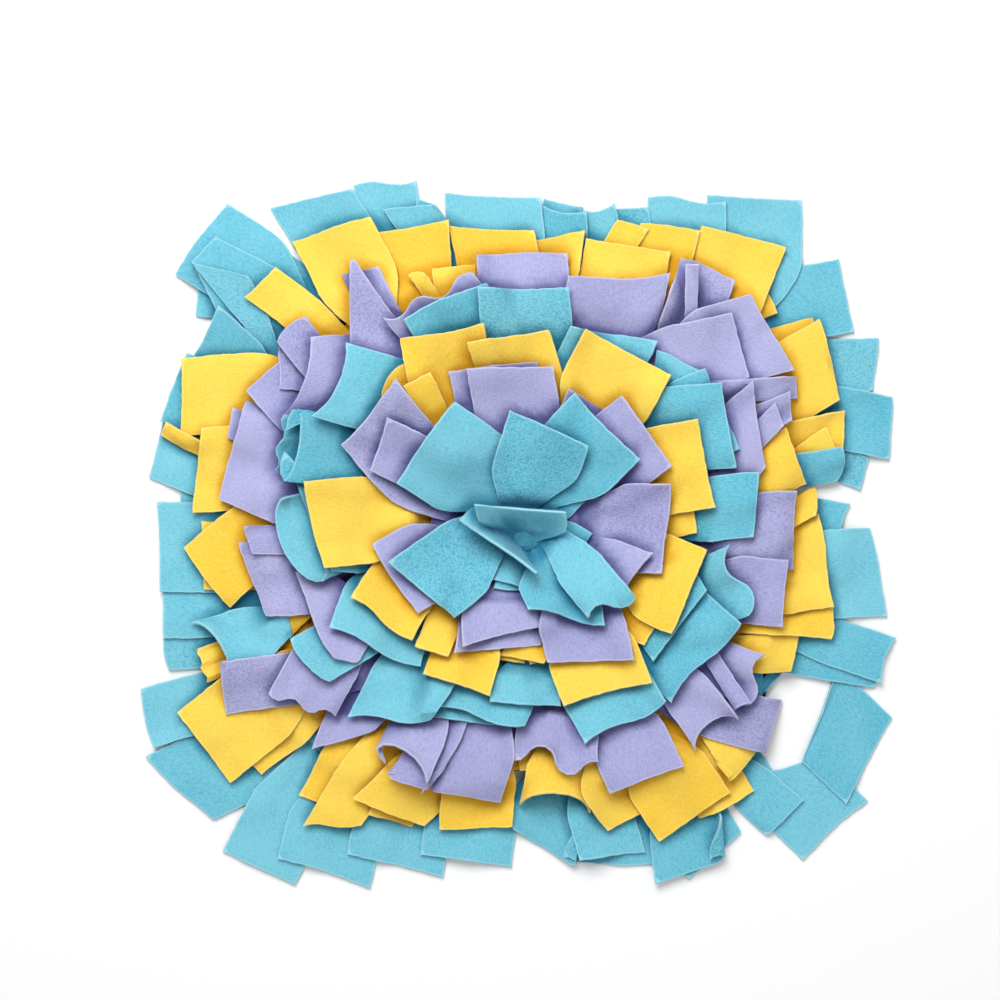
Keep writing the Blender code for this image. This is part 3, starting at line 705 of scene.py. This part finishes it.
def paintedShadeOf(points, pile):
    # painted shade from how closely the pile stands around and over each point: 0 in the open, 1 in a deep
    # fold
    sizes = paintedShadeSizes
    shade = np.zeros(len(points))
    for away in sizes["reaches"]:
        for step in range(sizes["ways"]):
            angle = 2 * math.pi * (step + away / sizes["turn"]) / sizes["ways"]
            beside = points + np.array([math.cos(angle), math.sin(angle), 0.0]) * away
            rise = pile.under(beside) - points[:, 2] - sizes["spare"]
            shade += np.clip(rise / away, 0.0, 1.0)
    share = shade / (sizes["ways"] * len(sizes["reaches"]))
    return np.clip((share - sizes["open"]) / (sizes["deep"] - sizes["open"]), 0.0, 1.0) * sizes["most"]


def petalShell(points, places, petal, number, pile, chance):
    # vertices of a petal's shell, with what its material reads at each of them
    sizes = fleeceSizes
    rows, columns = points.shape[:2]
    normals = normalsOf(points)
    inward = np.zeros_like(points)
    inward[:, 0] += unit(points[:, 1] - points[:, 0])
    inward[:, -1] += unit(points[:, -2] - points[:, -1])
    inward[-1] += unit(points[-2] - points[-1])
    border = np.linalg.norm(inward, axis=-1) > 0
    nicks = chance.uniform(0, sizes["nicks"], points.shape[:2]) * border
    points = points + inward * nicks[..., None]
    inset = points + inward * sizes["rimInset"]
    faces, loop = petalFaces(rows, columns)
    top = (inset + normals * sizes["thick"] / 2).reshape(-1, 3)
    bottom = (inset - normals * sizes["thick"] / 2).reshape(-1, 3)
    vertices = np.vstack([top, bottom, points.reshape(-1, 3)[loop]])
    across = travelled(points)
    fromSide = np.minimum(across, across[:, -1:] - across)
    fromEnd = (places[-1] - places)[:, None]
    edge = np.maximum(np.minimum(fromSide, fromEnd), sizes["leastEdge"]).reshape(-1)
    u = across - across[:, -1:] / 2
    v = np.repeat(places[:, None], columns, axis=1)
    flat = np.stack([u, v], axis=-1).reshape(-1, 2)
    shift = np.array(sizes["patternStep"]) * number % sizes["patternField"]
    uv = np.vstack([flat, flat + sizes["patternUnder"], flat[loop]]) + shift
    rough = float(petal.face == "rough")
    count = rows * columns
    values = {
        # painted shade, darker where the pile closes in around the vertex
        "hollow": paintedShadeOf(vertices, pile),
        "edge": np.concatenate([edge, edge, np.zeros(len(loop))]),
        "rough": np.concatenate([np.full(count, rough), np.full(count, 1 - rough), np.full(len(loop), 0.5)]),
        "tone": chance.uniform(0, 1),
    }
    return vertices, faces, uv, values


def closedRows(index):
    # quads from each row of points to the next, every row closed to a loop
    after = np.roll(index, -1, axis=1)
    return np.stack([index[:-1], after[:-1], after[1:], index[1:]], axis=-1).reshape(-1, 4)


bandSizes = {
    "width": 8.0,
    "height": 6.0,
    "floor": 3.3,
    "step": 3.0,
    "fewest": 40,
    "waves": ((0.5, 7.3, 0.0), (0.4, 4.1, 1.0)),  # height, length and start of the gathers along the seam
    "less": (0.6, 0.8),  # the gathered roll is this much narrower and lower than the band
    "ruffled": (0.5, 0.7),  # and has this share of the waves in its width and its height
    "pattern": 2.0,
}
bandSide = ((0.1, 0.5), (0.7, 0.5), (1.0, 0.3))  # height and half width of its profile, up one side
# the band lies in painted shade under the petals, with no painted highlight at its edges
bandLook = {"hollow": 0.75, "edge": 9.0, "rough": 0.3, "tone": 0.4}


def bandShell(seam):
    # the gathered roots under their stitches: a ruffled roll along the seam
    sizes = bandSizes
    steps = max(sizes["fewest"], int(seam.length / sizes["step"]))
    place = np.arange(steps) * seam.length / steps
    middle = seam.at(place)
    outward = seam.ahead(place)[:, ::-1] * (1, -1)
    ruffle = sum(high * np.sin(place * 2 * math.pi / long + start) for high, long, start in sizes["waves"])
    width = sizes["width"] - sizes["less"][0] + ruffle * sizes["ruffled"][0]
    height = sizes["height"] - sizes["less"][1] + ruffle * sizes["ruffled"][1]
    profile = [(-half, up) for up, half in bandSide] + [(half, up) for up, half in bandSide[::-1]]
    foot = bandSide[-1][1]
    rows = []
    for across, up in profile + [(foot, 0.0), (-foot, 0.0)]:
        sides = middle + outward * (across * width)[:, None]
        rows.append(np.column_stack([sides, sizes["floor"] + up * height]))
    points = np.stack(rows, axis=1)
    index = np.arange(steps * len(rows)).reshape(steps, len(rows))
    faces = closedRows(np.vstack([index, index[:1]]))
    uv = np.stack(np.meshgrid(np.arange(len(rows)) * sizes["pattern"], place), axis=-1)
    return points.reshape(-1, 3), faces, uv.reshape(-1, 2), bandLook


heartSizes = {
    "spokes": 18,
    "rounds": 4,
    "wider": 1.0,
    "bottom": 0.2,
    "middle": 8.8,
    "top": 8.5,  # height of the rounds near the middle, and how far they go down to the rim
    "fall": 3.0,
    "pleat": 1.2,
    "pleats": 5,
    "twist": 4.0,
    "pattern": 2.0,
}
# the tuft's heart lies in painted shade, with no painted highlight at its edges
heartLook = {"hollow": 0.5, "edge": 9.0, "rough": 0.6, "tone": 0.2}


def tuftHeart(ring):
    # the gathered middle of the tuft, inside its seam: rounds that go outwards below and inwards above
    sizes = heartSizes
    spokes = sizes["spokes"]
    below = (np.arange(sizes["rounds"]) + 1)[:, None] / sizes["rounds"]
    above = below[::-1]
    angle = 2 * math.pi * np.arange(spokes)[None, :] / spokes
    pleats = sizes["pleat"] * np.sin(sizes["pleats"] * angle + sizes["twist"] * above) * above
    top = sizes["top"] + pleats - sizes["fall"] * above
    heights = np.vstack([np.full_like(top, sizes["bottom"]), top])
    radius = np.vstack([below, above]) * (ring.half + sizes["wider"])
    rounds = np.stack([radius * np.cos(angle), radius * np.sin(angle), heights], axis=-1).reshape(-1, 3)
    vertices = np.vstack([[(0, 0, sizes["bottom"])], rounds, [(0, 0, sizes["middle"])]])
    vertices[:, 2] += bandSizes["floor"]
    index = 1 + np.arange(len(rounds)).reshape(-1, spokes)
    first, last = index[0], index[-1]
    low, high = np.zeros(spokes, int), np.full(spokes, len(rounds) + 1)
    ends = np.array([[low, np.roll(first, -1), first, first], [last, np.roll(last, -1), high, high]])
    faces = np.vstack([closedRows(index), ends.transpose(2, 0, 1).reshape(-1, 4)])
    return vertices, faces, vertices[:, :2] * sizes["pattern"], heartLook


def newObject(name, data):
    made = bpy.data.objects.new(name, data)
    bpy.context.scene.collection.objects.link(made)
    return made


def newMesh(name, vertices, faces, material, sharpAbove):
    mesh = bpy.data.meshes.new(name)
    mesh.from_pydata((vertices * mm).tolist(), [], faces)
    mesh.shade_smooth()
    mesh.set_sharp_from_angle(angle=math.radians(sharpAbove))
    mesh.materials.append(material)
    return mesh


def feed(tree, target, value):
    # sockets are linked to the input, and anything else is the input's own value
    for source in value if isinstance(value, list) else [value]:
        if isinstance(source, bpy.types.NodeSocket):
            tree.links.new(source, target)
        else:
            target.default_value = source


def addNode(tree, kind, inputs, **settings):
    # inputs go by place, identifier or name, and what comes back is the node's outputs
    node = tree.nodes.new(kind)
    for name, value in settings.items():
        setattr(node, name, value)
    for key, value in inputs.items():
        place = key
        if isinstance(key, str):
            place = next(n for n, s in enumerate(node.inputs) if key in (s.identifier, s.name))
        feed(tree, node.inputs[place], value)
    return node.outputs


def newGroup(name, kind, entries, exits):
    # an empty node group, what comes into it and what leaves it
    group = bpy.data.node_groups.new(name, kind)
    for way, sockets in (("INPUT", entries), ("OUTPUT", exits)):
        for label, value in sockets.items():
            group.interface.new_socket(name=label, in_out=way, socket_type="NodeSocket" + value)
    return group, group.nodes.new("NodeGroupInput").outputs, group.nodes.new("NodeGroupOutput").inputs


def compared(tree, first, operation, second):
    inputs = {"A": first, "B": second}
    return addNode(tree, "FunctionNodeCompare", inputs, data_type="FLOAT", operation=operation)["Result"]


fuzzSizes = {
    "hair": 1.0,  # length of a loose hair in millimetres, its width, and how much of it is in the cloth
    "fine": 0.2,
    "held": 0.35,
    "clear": 3.0,  # no hair grows on a face whose middle is lower than this
    "edgeHairs": 0.47,  # hairs in a square millimetre at the cut edges, and elsewhere
    "faceHairs": 0.034,
    "edgeReach": 1.2,
    "tilt": 65.0,
    "seed": 7,
}


def fuzzTree(material):
    # loose hairs of the fleece, thickest at its cut edges: each a closed spike of four faces
    sizes = fuzzSizes
    lengths = ("Edge hairs", "Face hairs", "Hair length", "Hair radius", "Edge reach", "Lowest")
    entries = {"Geometry": "Geometry", **dict.fromkeys(lengths, "Float"), "Seed": "Int"}
    tree, given, leave = newGroup("fleeceFuzz", "GeometryNodeTree", entries, {"Geometry": "Geometry"})
    edge = addNode(tree, "GeometryNodeInputNamedAttribute", {"Name": "edge"}, data_type="FLOAT")
    near = compared(tree, edge["Attribute"], "LESS_THAN", given["Edge reach"])
    inputs = {"Switch": near, "False": given["Face hairs"], "True": given["Edge hairs"]}
    density = addNode(tree, "GeometryNodeSwitch", inputs, input_type="FLOAT")["Output"]
    place = addNode(tree, "GeometryNodeInputPosition", {})["Position"]
    height = addNode(tree, "ShaderNodeSeparateXYZ", {"Vector": place})["Z"]
    clear = compared(tree, height, "GREATER_THAN", given["Lowest"])  # no hair may reach the floor
    inputs = {"Mesh": given["Geometry"], "Selection": clear, "Density": density, "Seed": given["Seed"]}
    spots = addNode(tree, "GeometryNodeDistributePointsOnFaces", inputs, distribute_method="RANDOM")
    inputs = {"Vertices": 3, "Radius Top": 0.0}
    inputs.update({"Radius Bottom": given["Hair radius"], "Depth": given["Hair length"]})
    hair = addNode(tree, "GeometryNodeMeshCone", inputs, fill_type="NGON")["Mesh"]
    inputs = {"Geometry": hair, "Translation": (0, 0, -sizes["held"] * mm)}
    rooted = addNode(tree, "GeometryNodeTransform", inputs)["Geometry"]
    reach = math.radians(sizes["tilt"])
    inputs = {"Min": (-reach, -reach, -math.pi), "Max": (reach, reach, math.pi), "Seed": given["Seed"]}
    lean = addNode(tree, "FunctionNodeRandomValue", inputs, data_type="FLOAT_VECTOR")["Value"]
    inputs = {"Rotation": spots["Rotation"], "Rotate By": lean}
    turn = addNode(tree, "FunctionNodeRotateRotation", inputs, rotation_space="LOCAL")["Rotation"]
    inputs = {"Points": spots["Points"], "Instance": rooted, "Rotation": turn}
    placed = addNode(tree, "GeometryNodeInstanceOnPoints", inputs)["Instances"]
    joined = addNode(tree, "GeometryNodeJoinGeometry", {"Geometry": [placed, given["Geometry"]]})["Geometry"]
    real = addNode(tree, "GeometryNodeRealizeInstances", {"Geometry": joined})["Geometry"]
    dressed = addNode(tree, "GeometryNodeSetMaterial", {"Geometry": real, "Material": material})["Geometry"]
    feed(tree, leave["Geometry"], dressed)
    return tree


def fuzzed(mesh, material):
    sizes = fuzzSizes
    carrier = newObject("carrier", mesh)
    tree = fuzzTree(material)
    values = {
        "Edge hairs": sizes["edgeHairs"] / mm**2,
        "Face hairs": sizes["faceHairs"] / mm**2,
        "Hair length": sizes["hair"] * mm,
        "Hair radius": sizes["fine"] * mm / 2,
        "Edge reach": sizes["edgeReach"],
        "Lowest": sizes["clear"] * mm,
        "Seed": sizes["seed"],
    }
    grown = carrier.modifiers.new("fuzz", "NODES")
    grown.node_group = tree
    for item in tree.interface.items_tree:
        if item.name in values:
            grown[item.identifier] = values[item.name]
    bpy.context.view_layer.update()
    plain = bpy.data.meshes.new_from_object(carrier.evaluated_get(bpy.context.evaluated_depsgraph_get()))
    bpy.data.objects.remove(carrier)
    bpy.data.node_groups.remove(tree)
    return plain


def joinedMesh(name, shells, material):
    vertices = np.vstack([shell[0] for shell in shells])
    starts = np.cumsum([0] + [len(shell[0]) for shell in shells])
    faces = np.vstack([shell[1] + start for shell, start in zip(shells, starts)])
    uv = np.vstack([shell[2] for shell in shells])
    corners = [list(dict.fromkeys(face)) for face in faces.tolist()]
    mesh = newMesh(name, vertices, corners, material, fleeceSizes["sharpAbove"])
    layer = mesh.uv_layers.new(name="petalUV")
    flatCorners = np.array([corner for face in corners for corner in face])
    layer.data.foreach_set("uv", (uv[flatCorners] * fleeceSizes["patternSize"]).reshape(-1))
    # the attributes that the material reads, among them the painted shade
    for key in ("edge", "rough", "tone", "hollow"):
        values = [np.broadcast_to(shell[3][key], len(shell[0])) for shell in shells]
        attribute = mesh.attributes.new(key, "FLOAT", "POINT")
        attribute.data.foreach_set("value", np.concatenate(values))
    mesh.update()
    mesh = fuzzed(mesh, material)
    mesh.name = name
    return newObject(name, mesh)


def noiseNode(tree, vector, scale, detail, roughness):
    inputs = {"Vector": vector, "Scale": scale, "Detail": detail, "Roughness": roughness}
    return addNode(tree, "ShaderNodeTexNoise", inputs)["Fac"]


def mathNode(tree, operation, *values, clamp=False):
    return addNode(tree, "ShaderNodeMath", dict(enumerate(values)), operation=operation, use_clamp=clamp)[0]


def weighed(tree, first, second, shares):
    # so much of the one value and so much of the other
    parts = [mathNode(tree, "MULTIPLY", value, share) for value, share in zip((first, second), shares)]
    return mathNode(tree, "ADD", *parts)


def mapped(tree, value, fromLow, fromHigh, toLow, toHigh):
    inputs = {"Value": value, "From Min": fromLow, "From Max": fromHigh, "To Min": toLow, "To Max": toHigh}
    return addNode(tree, "ShaderNodeMapRange", inputs, interpolation_type="SMOOTHSTEP")["Result"]


def mixed(tree, kind, share, first, second):
    # the node names its sockets after the kind of what it mixes, Color or Float
    inputs = {"Factor_Float": share, "A_" + kind: first, "B_" + kind: second}
    outputs = addNode(tree, "ShaderNodeMix", inputs, data_type={"Color": "RGBA", "Float": "FLOAT"}[kind])
    return next(s for s in outputs if s.identifier == "Result_" + kind)


def attributeValue(tree, name):
    return addNode(tree, "ShaderNodeAttribute", {}, attribute_name=name)["Fac"]


def newMaterial(name, values):
    made = bpy.data.materials.new(name)
    made.use_nodes = True
    shader = made.node_tree.nodes["Principled BSDF"]
    for key, value in values.items():
        shader.inputs[key].default_value = value
    return made, made.node_tree, shader.inputs


# a noise is given by its scale, detail and roughness
napSizes = {
    "streaks": (85.0, 2.0, 0.75),
    "stretched": (1.0, 0.42, 1.0),
    "turned": (0.0, 0.0, 0.25),
    "fine": (120.0, 3.0, 0.75),
    "patches": (4.0, 2.0, 0.5),
    "pebbles": 95.0,
    "smoothness": 0.6,
    "warp": 60.0,
    "warped": (0.016, 0.016, 0.0),
    "between": 0.85,
    "smoothShares": (0.45, 0.55),  # of streaks and fine, then of pebbles and fine, of height and patches
    "roughShares": (0.4, 0.7),
    "toneShares": (0.85, 0.15),
}


def napGroup():
    # the pile of the fleece: brushed streaks on one face, pebbles on the other
    sizes = napSizes
    entries = {"Flat place": "Vector", "Rough side": "Float"}
    exits = {"Tone": "Float", "Pile height": "Float"}
    group, given, leave = newGroup("fleeceNap", "ShaderNodeTree", entries, exits)
    place = given["Flat place"]
    inputs = {"Vector": place, "Scale": sizes["stretched"], "Rotation": sizes["turned"]}
    streaks = noiseNode(group, addNode(group, "ShaderNodeMapping", inputs)["Vector"], *sizes["streaks"])
    fine = noiseNode(group, place, *sizes["fine"])
    noise = addNode(group, "ShaderNodeTexNoise", {"Vector": place, "Scale": sizes["warp"]})["Color"]
    inputs = {0: noise, 1: sizes["warped"], 2: place}
    warped = addNode(group, "ShaderNodeVectorMath", inputs, operation="MULTIPLY_ADD")[0]
    inputs = {"Vector": warped, "Scale": sizes["pebbles"], "Smoothness": sizes["smoothness"]}
    pebbles = addNode(group, "ShaderNodeTexVoronoi", inputs, feature="SMOOTH_F1")["Distance"]
    smooth = weighed(group, streaks, fine, sizes["smoothShares"])
    lumps = weighed(group, mathNode(group, "SUBTRACT", sizes["between"], pebbles), fine, sizes["roughShares"])
    height = mixed(group, "Float", given["Rough side"], smooth, lumps)
    patches = noiseNode(group, place, *sizes["patches"])
    feed(group, leave["Tone"], weighed(group, height, patches, sizes["toneShares"]))
    feed(group, leave["Pile height"], height)
    return group


fleeceColours = {
    # linear colours: between the hairs, on their tips, a painted highlight at a cut edge, painted shade deep
    # in the pile, and of the sheen
    "turquoise": {
        "deep": (0.082, 0.41, 0.56),
        "lit": (0.215, 0.585, 0.71),
        "cut": (0.38, 0.74, 0.84),
        "hollow": (0.0, 0.15, 0.27),
        "sheen": (0.7, 0.95, 1.0),
    },
    "yellow": {
        "deep": (0.90, 0.54, 0.035),
        "lit": (0.96, 0.68, 0.105),
        "cut": (0.99, 0.80, 0.25),
        "hollow": (0.62, 0.28, 0.0),
        "sheen": (1.0, 0.95, 0.7),
    },
    "lavender": {
        "deep": (0.30, 0.30, 0.56),
        "lit": (0.45, 0.45, 0.71),
        "cut": (0.63, 0.62, 0.84),
        "hollow": (0.055, 0.055, 0.24),
        "sheen": (0.9, 0.9, 1.0),
    },
}


fleeceLook = {"Roughness": 0.95, "Specular IOR Level": 0.15, "Sheen Weight": 0.25, "Sheen Roughness": 0.5}
# Of the four numbers of a mask, the first two are the range that it is made from, the others what it becomes.
fleeceMasks = {
    "petal": (0.0, 1.0, -0.2, 0.2),
    "nap": (0.33, 0.61, 0.0, 1.0),
    # the next two shape the painted highlight along the cut edges
    "cut": (0.9, 2.3, 0.8, 0.0),
    "highlightFrayed": 1.6,  # how far the pile strays into the cut edge
}
fleeceRelief = {"Strength": 0.9, "Distance": 0.0009}


def fleeceMaterial(colour, nap):
    masks, tones = fleeceMasks, {name: tone + (1,) for name, tone in fleeceColours[colour].items()}
    made, tree, shader = newMaterial("fleece_" + colour, {**fleeceLook, "Sheen Tint": tones["sheen"]})
    uv = addNode(tree, "ShaderNodeUVMap", {}, uv_map="petalUV")["UV"]
    group = tree.nodes.new("ShaderNodeGroup")
    group.node_tree = nap
    feed(tree, group.inputs["Flat place"], uv)
    feed(tree, group.inputs["Rough side"], attributeValue(tree, "rough"))
    pile = group.outputs["Pile height"]
    petalTone = mapped(tree, attributeValue(tree, "tone"), *masks["petal"])
    tone = mathNode(tree, "ADD", mapped(tree, group.outputs["Tone"], *masks["nap"]), petalTone, clamp=True)
    body = mixed(tree, "Color", tone, tones["deep"], tones["lit"])
    highlightFrayed = mathNode(tree, "MULTIPLY", pile, masks["highlightFrayed"])
    # painted highlight: lighter colour along the cut edges, where loose hairs catch the light
    cut = mapped(tree, mathNode(tree, "ADD", attributeValue(tree, "edge"), highlightFrayed), *masks["cut"])
    body = mixed(tree, "Color", cut, body, tones["cut"])
    # painted shade: a darker, deeper colour where the pile stands close around and over the fleece
    body = mixed(tree, "Color", attributeValue(tree, "hollow"), body, tones["hollow"])
    feed(tree, shader["Base Color"], body)
    feed(tree, shader["Normal"], addNode(tree, "ShaderNodeBump", {**fleeceRelief, "Height": pile})["Normal"])
    return made


feltLook = {"Roughness": 0.97, "Specular IOR Level": 0.1, "Sheen Weight": 0.2}
feltSizes = {
    "fibres": (900.0, 4.0, 0.7),
    "mottle": (90.0, 3.0, 0.6),
    "shares": (0.6, 0.4),
    "mask": (0.35, 0.65, 0, 1),
    "deep": (0.006, 0.006, 0.007, 1),
    "lit": (0.03, 0.03, 0.034, 1),
}
feltRelief = {"Strength": 0.5, "Distance": 0.0004}


def feltMaterial():
    sizes = feltSizes
    made, tree, shader = newMaterial("felt_black", feltLook)
    place = addNode(tree, "ShaderNodeTexCoord", {})["Object"]
    fibres = noiseNode(tree, place, *sizes["fibres"])
    tone = weighed(tree, fibres, noiseNode(tree, place, *sizes["mottle"]), sizes["shares"])
    colour = mixed(tree, "Color", mapped(tree, tone, *sizes["mask"]), sizes["deep"], sizes["lit"])
    feed(tree, shader["Base Color"], colour)
    feed(tree, shader["Normal"], addNode(tree, "ShaderNodeBump", {**feltRelief, "Height": tone})["Normal"])
    return made


baseSizes = {"half": 143.0, "corner": 46.0, "thick": 3.0, "rim": 0.9, "sharpAbove": 50.0}


def feltBase(material):
    # the base panel, its cut rim a little rounded
    sizes = baseSizes
    rim, thick = sizes["rim"], sizes["thick"]
    levels = []
    for inset, height in ((rim, 0.0), (0.0, rim), (0.0, thick - rim), (rim, thick)):
        outline = roundedSquare(sizes["half"] - inset, sizes["corner"] - inset)
        levels.append(np.insert(outline, 2, height, axis=1))
    index = np.arange(len(levels) * len(levels[0])).reshape(len(levels), -1)
    faces = closedRows(index).tolist() + [index[0, ::-1].tolist(), index[-1].tolist()]
    mesh = newMesh("felt_base", np.vstack(levels), faces, material, sizes["sharpAbove"])
    return newObject("felt_base", mesh)


def settle(held, pile):
    # the petals that came to lie over the next ring's
    for rows, petal, ring, root, seam, chance in held:
        settled = Pile()
        rows.append((petal,) + lay(petal, ring, root, seam, pile, settled, chance))
        pile.raiseTo(settled)


def layRings(materials):
    pile = Pile()
    pile.cover(baseSizes["half"], baseSizes["corner"], baseSizes["half"], baseSizes["thick"])
    laid, held, pieces = [], [], {}
    for order, ring in enumerate(rings):
        chance = np.random.default_rng(fleeceSizes["seed"] + order)
        seam = Seam(ring.half, ring.corner)
        others = Pile()
        others.raiseTo(pile)
        for other in rings:
            if other.node != ring.node:
                others.coverBand(other)
        own = Pile()
        own.coverBand(ring)
        petals = [Petal(*row) for row in ring.petals]
        roots = rootsOf(petals, seam, ring.root, ring.spacing)
        under, underRoots = underPetals(seam) if ring.half < underSizes["widest"] else ([], [])
        petals, roots = under + petals, underRoots + roots
        rows, waiting = [], []
        for petal, root in zip(petals, roots):
            if petal.face == "overLate":
                pile.raiseTo(own)
                settle(held, pile)
                others.raiseTo(pile)
                held = []
            if petal.face == "late":
                waiting.append((rows, petal, ring, root, seam, chance))
            else:
                rows.append((petal,) + lay(petal, ring, root, seam, others, own, chance))
        laid.append((ring, seam, rows, chance))
        pile.raiseTo(own)
        settle(held, pile)
        held = waiting
        print(ring.node, len(petals), "petals, highest", round(own.top.max(), 1), "mm")
    for order, (ring, seam, rows, chance) in enumerate(laid):
        shells = [bandShell(seam)]
        if ring.node == "centre_tuft":
            shells.append(tuftHeart(ring))
        for number, (petal, points, places) in enumerate(rows, fleeceSizes["patternRing"] * order):
            shells.append(petalShell(points, places, petal, number, pile, chance))
        name = ring.node.replace("ring_", "petals_").replace("centre_tuft", "petals_tuft")
        piece = joinedMesh(name, shells, materials[ring.colour])
        widest = max(petal.width for petal, _, _ in rows) * mm
        cutLength = sum(places[-1] for _, _, places in rows) * mm
        cutArea = sum(places[-1] * petal.width for petal, _, places in rows) * mm * mm
        pieces[ring.node] = (piece, ring.colour, widest, cutLength, cutArea)
        print(name, "made,", sum(len(face.vertices) - 2 for face in piece.data.polygons), "triangles")
    return pieces


nap = napGroup()
materials = {colour: fleeceMaterial(colour, nap) for colour in fleeceColours}
base = feltBase(feltMaterial())
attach(base, "root")
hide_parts("base_panel")
print("felt base made")

for node, (piece, colour, widest, cutLength, cutArea) in layRings(materials).items():
    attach(piece, "root")
    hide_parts(node)
print("petals laid")

floorSizes = {"half": 1.6, "height": -0.0004}
bpy.ops.mesh.primitive_plane_add(size=2 * floorSizes["half"], location=(0, 0, floorSizes["height"]))
floor = bpy.context.object
floor.name = "floor"
floorLook = {"Base Color": (0.9, 0.9, 0.9, 1), "Roughness": 0.9}
floor.data.materials.append(newMaterial("floor_white", floorLook)[0])

lightSizes = {
    "keyLight": {"place": (-0.3, 0.9, 1.3), "power": 24.5, "size": 0.9},
    "fillLight": {"place": (0.6, -0.9, 1.3), "power": 5.5, "size": 1.5},
}
worldLook = {"Color": (1, 1, 1, 1), "Strength": 0.43}

for name, sizes in lightSizes.items():
    light = bpy.data.lights.new(name, "AREA")
    light.energy = sizes["power"]
    light.size = sizes["size"]
    lightItem = newObject(name, light)
    lightItem.location = sizes["place"]
    lightItem.rotation_euler = (-Vector(sizes["place"])).to_track_quat("-Z", "Y").to_euler()

world = bpy.data.worlds.new("studio")
world.use_nodes = True
for key, value in worldLook.items():
    world.node_tree.nodes["Background"].inputs[key].default_value = value
bpy.context.scene.world = world
bpy.context.scene.view_settings.view_transform = "Standard"  # plain colours, as a shop photograph has them

cameraSizes = {
    "pixel": 0.59 * mm,  # size of a pixel of the photograph
    "frame": 1000,
    "middle": (525, 530),  # the pixel at which the middle of the mat lies
    "lens": 85.0,
    "sensor": 36.0,
    "pileMiddle": 0.010,
}
sizes = cameraSizes
camera = bpy.data.cameras.new("camera")
camera.lens = sizes["lens"]
camera.sensor_width = sizes["sensor"]
cameraItem = newObject("camera", camera)
away = sizes["frame"] * sizes["pixel"] * sizes["lens"] / sizes["sensor"] + sizes["pileMiddle"]
cameraItem.location = (
    (sizes["frame"] / 2 - sizes["middle"][0]) * sizes["pixel"],
    (sizes["middle"][1] - sizes["frame"] / 2) * sizes["pixel"],
    away,
)
bpy.context.scene.camera = cameraItem
print("lights and camera placed")
